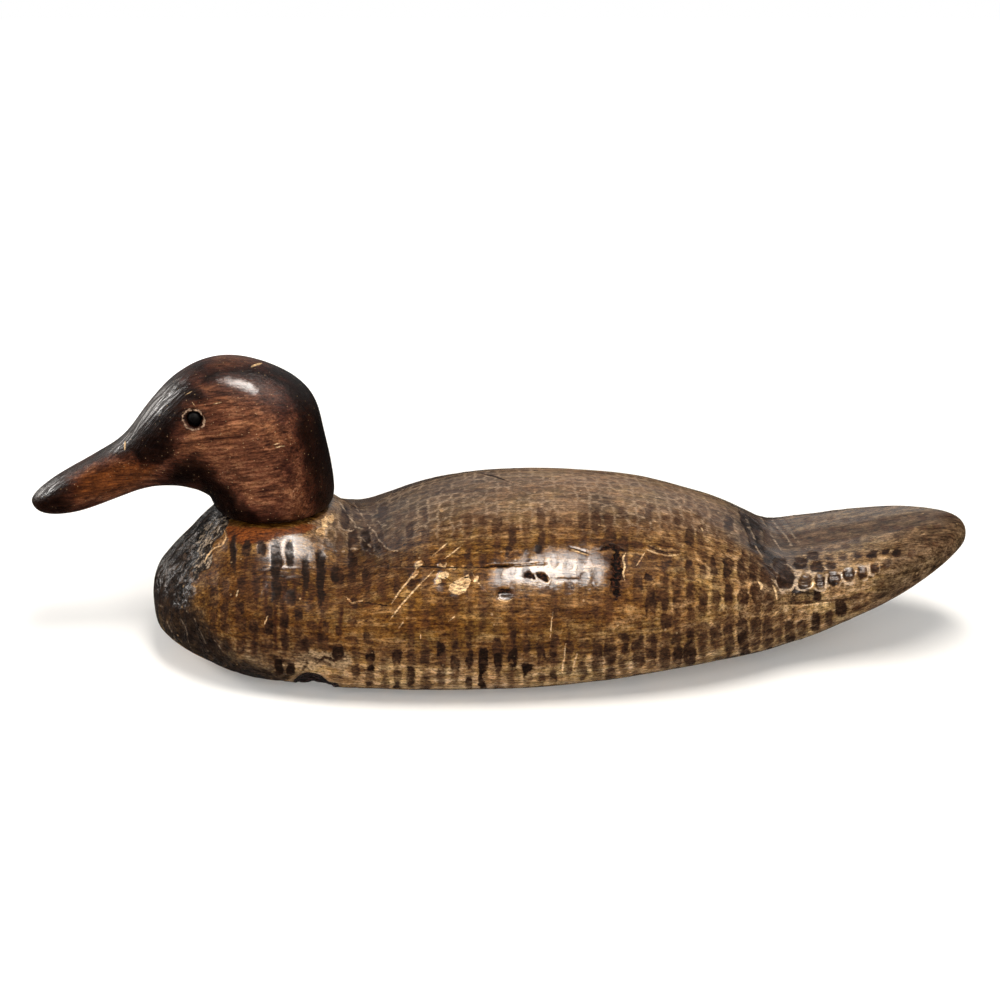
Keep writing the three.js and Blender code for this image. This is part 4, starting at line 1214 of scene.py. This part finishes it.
def makeHeadWood():
    material, tree, shader, where = newMaterial("head_wood")
    c = headFinish
    f = fieldsOf(tree, "orange crown scorch lids ring socket nick sheen polished")
    turned = stretch(where, (1, 1, 1), (0, math.radians(7), 0))
    wood = useGroup(oldWood, Vector=turned, Streak_Scale=1.25)
    grain = plus(times(wood["Streaks"], 0.75), times(wood["Mottle"], 0.25))
    patches = ramp(pattern(turned, (38, 60, 60), 4.0, 0.6), c["patches"])
    colour = mix(0.85, ramp(grain, c["red"]), patches, "MULTIPLY")
    colour = mix(ragged(turned, f["orange"], 130, 0.5, 0.35), colour, ramp(grain, c["orange"]))
    # painted shading: a greyer brown wherever the top of the head faces up
    colour = mix(times(f["crown"], 0.7), colour, c["crown"])
    scorchField = plus(f["scorch"], times(minus(wood["Streaks"], 0.5), 0.9))
    scorchMask = ragged(turned, scorchField, 190, 0.8, 0.5)
    colour = mix(1.0, colour, ramp(scorchMask, c["singed"]), "MULTIPLY")
    colour = mix(times(wood["Pores"], 0.4), colour, c["black"])
    colour = mix(times(f["lids"], 0.75), colour, c["black"])
    ringMask = span(times(f["ring"], noise(where, 900.0)), 0.34, 0.48)
    colour = mix(times(ringMask, 0.8), colour, c["ring"])
    colour = mix(f["socket"], colour, c["black"])
    fleckMask = useGroup(flecks, Vector=where, Size=1150.0, Amount=0.08)["Mask"]
    colour = mix(times(fleckMask, 0.36), colour, c["pale"])
    nickMask = ragged(where, f["nick"], 1300, 0.2, 0.1)
    colour = mix(nickMask, colour, c["pale"])
    threads = pattern(turned, (170, 1300, 1300), 5.0, 0.75)
    gritty = ramp(plus(times(wood["Grit"], 0.4), times(threads, 0.6)), c["grit"])
    colour = mix(0.9, colour, gritty, "MULTIPLY")

    # the varnish shines along brush strokes on the forehead and bill tip, and in one spot on the crown
    sloping = stretch(where, (1, 1, 1), (0, math.radians(48), 0))
    brushed = pattern(sloping, (90, 760, 760), 4.0, 0.68)
    glossy = times(span(brushed, 0.47, 0.54, 0.04), most(f["sheen"], times(scorchMask, 0.22)))
    spot = times(ragged(sloping, f["polished"], 420, 1.3, 0.35), 0.95)
    wrinkles = times(pattern(turned, (260, 420, 420), 4.0, 0.65), times(scorchMask, 1.6))
    relief = plus(wood["Height"], wrinkles, times(times(brushed, scorchMask), 2.5))
    rough = span(plus(times(wood["Mottle"], 0.5), nickMask), 0, 1, 0.3, 0.75)
    coat = calc("SUBTRACT", most(glossy, spot, 0.07), nickMask, True)
    setShader(shader, Base_Color=colour, Roughness=rough, Coat_Weight=coat, Coat_IOR=c["coatIor"],
              Coat_Roughness=c["coatRoughness"], Specular_IOR_Level=c["specular"],
              Normal=bump(relief, 0.7, c["relief"]), Coat_Normal=bump(relief, 0.3, c["relief"]))
    return material


beadFinish = {
    "colour": [(0.35, rgb(3, 2, 2)), (0.7, rgb(10, 8, 7))], "roughness": (0.5, 0.75), "specular": 0.1,
}


def makeBead():
    material, tree, shader, where = newMaterial("black_bead")
    smear = noise(where, 900.0)
    setShader(shader, Base_Color=ramp(smear, beadFinish["colour"]), Specular_IOR_Level=beadFinish["specular"],
              Roughness=span(smear, 0, 1, *beadFinish["roughness"]))
    return material


bodyWood, headWood, bead = makeBodyWood(), makeHeadWood(), makeBead()
dressed = ((body, "body", bodyWood, "body_wood"), (head, "head", headWood, "head_wood"))
for piece, node, material, slotName in dressed:
    piece.data.materials.clear()
    piece.data.materials.append(material)
    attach(piece, "root")
    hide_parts(node)
for name in ("eye_left", "eye_right"):
    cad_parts[name].material_slots[0].material = bead
print("finishes on")


# Floor, light and camera

warm = (1.0, 0.94, 0.88)
# The key and the fill give light without a highlight, and the three glints give a highlight alone.
lamps = {
    "key": {"at": (0.06, -0.2, 0.76), "size": (0.24, 0.42), "power": 6.3, "tint": (1.0, 0.95, 0.89),
            "shines": False},
    "glint": {"at": (0.08, -0.17, 0.76), "size": (0.19, 0.32), "power": 4.4, "tint": warm, "lights": False},
    "neckGlint": {"at": (0.24, -0.02, 0.76), "size": (0.2, 0.36), "power": 3.4, "tint": warm,
                  "lights": False},
    "headGlint": {"at": (-0.07, -0.2, 0.76), "size": (0.21, 0.2), "power": 2.2, "tint": warm,
                  "lights": False},
    "wall": {"at": (0.1, 1.3, 0.75), "size": (2.4, 1.3), "power": 4.5},
    "side": {"at": (-1.1, 0.22, 0.59), "size": (0.3, 0.3), "power": 6.0, "tint": (1.0, 0.96, 0.92)},
    "sheen": {"at": (-0.95, 0.66, 0.31), "size": (0.5, 0.4), "power": 2.0, "tint": warm},
    "fill": {"at": (0.1, -1.5, 0.9), "size": (2.0, 1.4), "power": 19.0, "shines": False},
}
studio = {
    "lampsAim": (0.0, 0.0, 0.04), "roomForCamera": 1.0, "roomForTheRest": 0.035,
    "floorColour": (0.86, 0.85, 0.83, 1.0), "floorRoughness": 0.9, "floorSize": 6, "floorDrop": 0.0003,
    # the floor glows from a little way off, so that it stays white round the decoy's shadow
    "glowFrom": 0.1, "glowTo": 0.9,
    "glow": [(0.0, (0.16, 0.16, 0.155, 1)), (1.0, (1, 1, 1, 1))], "sensor": 36.0,
}

for name, settings in lamps.items():
    lamp = bpy.data.lights.new(name, "AREA")
    lamp.shape = "RECTANGLE"
    lamp.size, lamp.size_y = settings["size"]
    lamp.energy, lamp.color = settings["power"], settings.get("tint", (1.0, 1.0, 1.0))
    holder = bpy.data.objects.new(name, lamp)
    scene.collection.objects.link(holder)
    holder.location = settings["at"]
    holder.rotation_euler = (Vector(studio["lampsAim"]) - holder.location).to_track_quat("-Z", "Y").to_euler()
    holder.visible_glossy = settings.get("shines", True)
    holder.visible_diffuse = settings.get("lights", True)

room = bpy.data.worlds.new("room")
scene.world = room
room.use_nodes = True
tree = room.node_tree
cameraRay = addNode(tree, "LightPath").outputs["Is Camera Ray"]
strength = span(cameraRay, 0, 1, studio["roomForTheRest"], studio["roomForCamera"])
setShader(tree.nodes["Background"], Color=(1.0, 1.0, 1.0, 1.0), Strength=strength)

bm = bmesh.new()
bmesh.ops.create_grid(bm, x_segments=1, y_segments=1, size=studio["floorSize"])
floorMesh = bpy.data.meshes.new("floor")
bm.to_mesh(floorMesh)
bm.free()
floor = bpy.data.objects.new("floor", floorMesh)
scene.collection.objects.link(floor)
floor.location.z = -studio["floorDrop"]
floorPaint, tree, shader, where = newMaterial("floor_paint")
away = vectorMath("LENGTH", where)["Value"]
glow = ramp(span(away, studio["glowFrom"], studio["glowTo"], smooth=True), studio["glow"])
setShader(shader, Base_Color=studio["floorColour"], Roughness=studio["floorRoughness"], Emission_Strength=1.0,
          Emission_Color=glow)
floorMesh.materials.append(floorPaint)
floor.visible_glossy = False

lens = bpy.data.cameras.new("camera")
lens.sensor_width = studio["sensor"]
lens.lens = studio["sensor"] * view["distance"] / view["span"]
camera = bpy.data.objects.new("camera", lens)
scene.collection.objects.link(camera)
camera.location = Vector(eyePoint / mm)
camera.rotation_euler = Vector(ahead).to_track_quat("-Z", "Y").to_euler()
scene.camera = camera
scene.view_settings.view_transform = "Standard"
print("stage set")
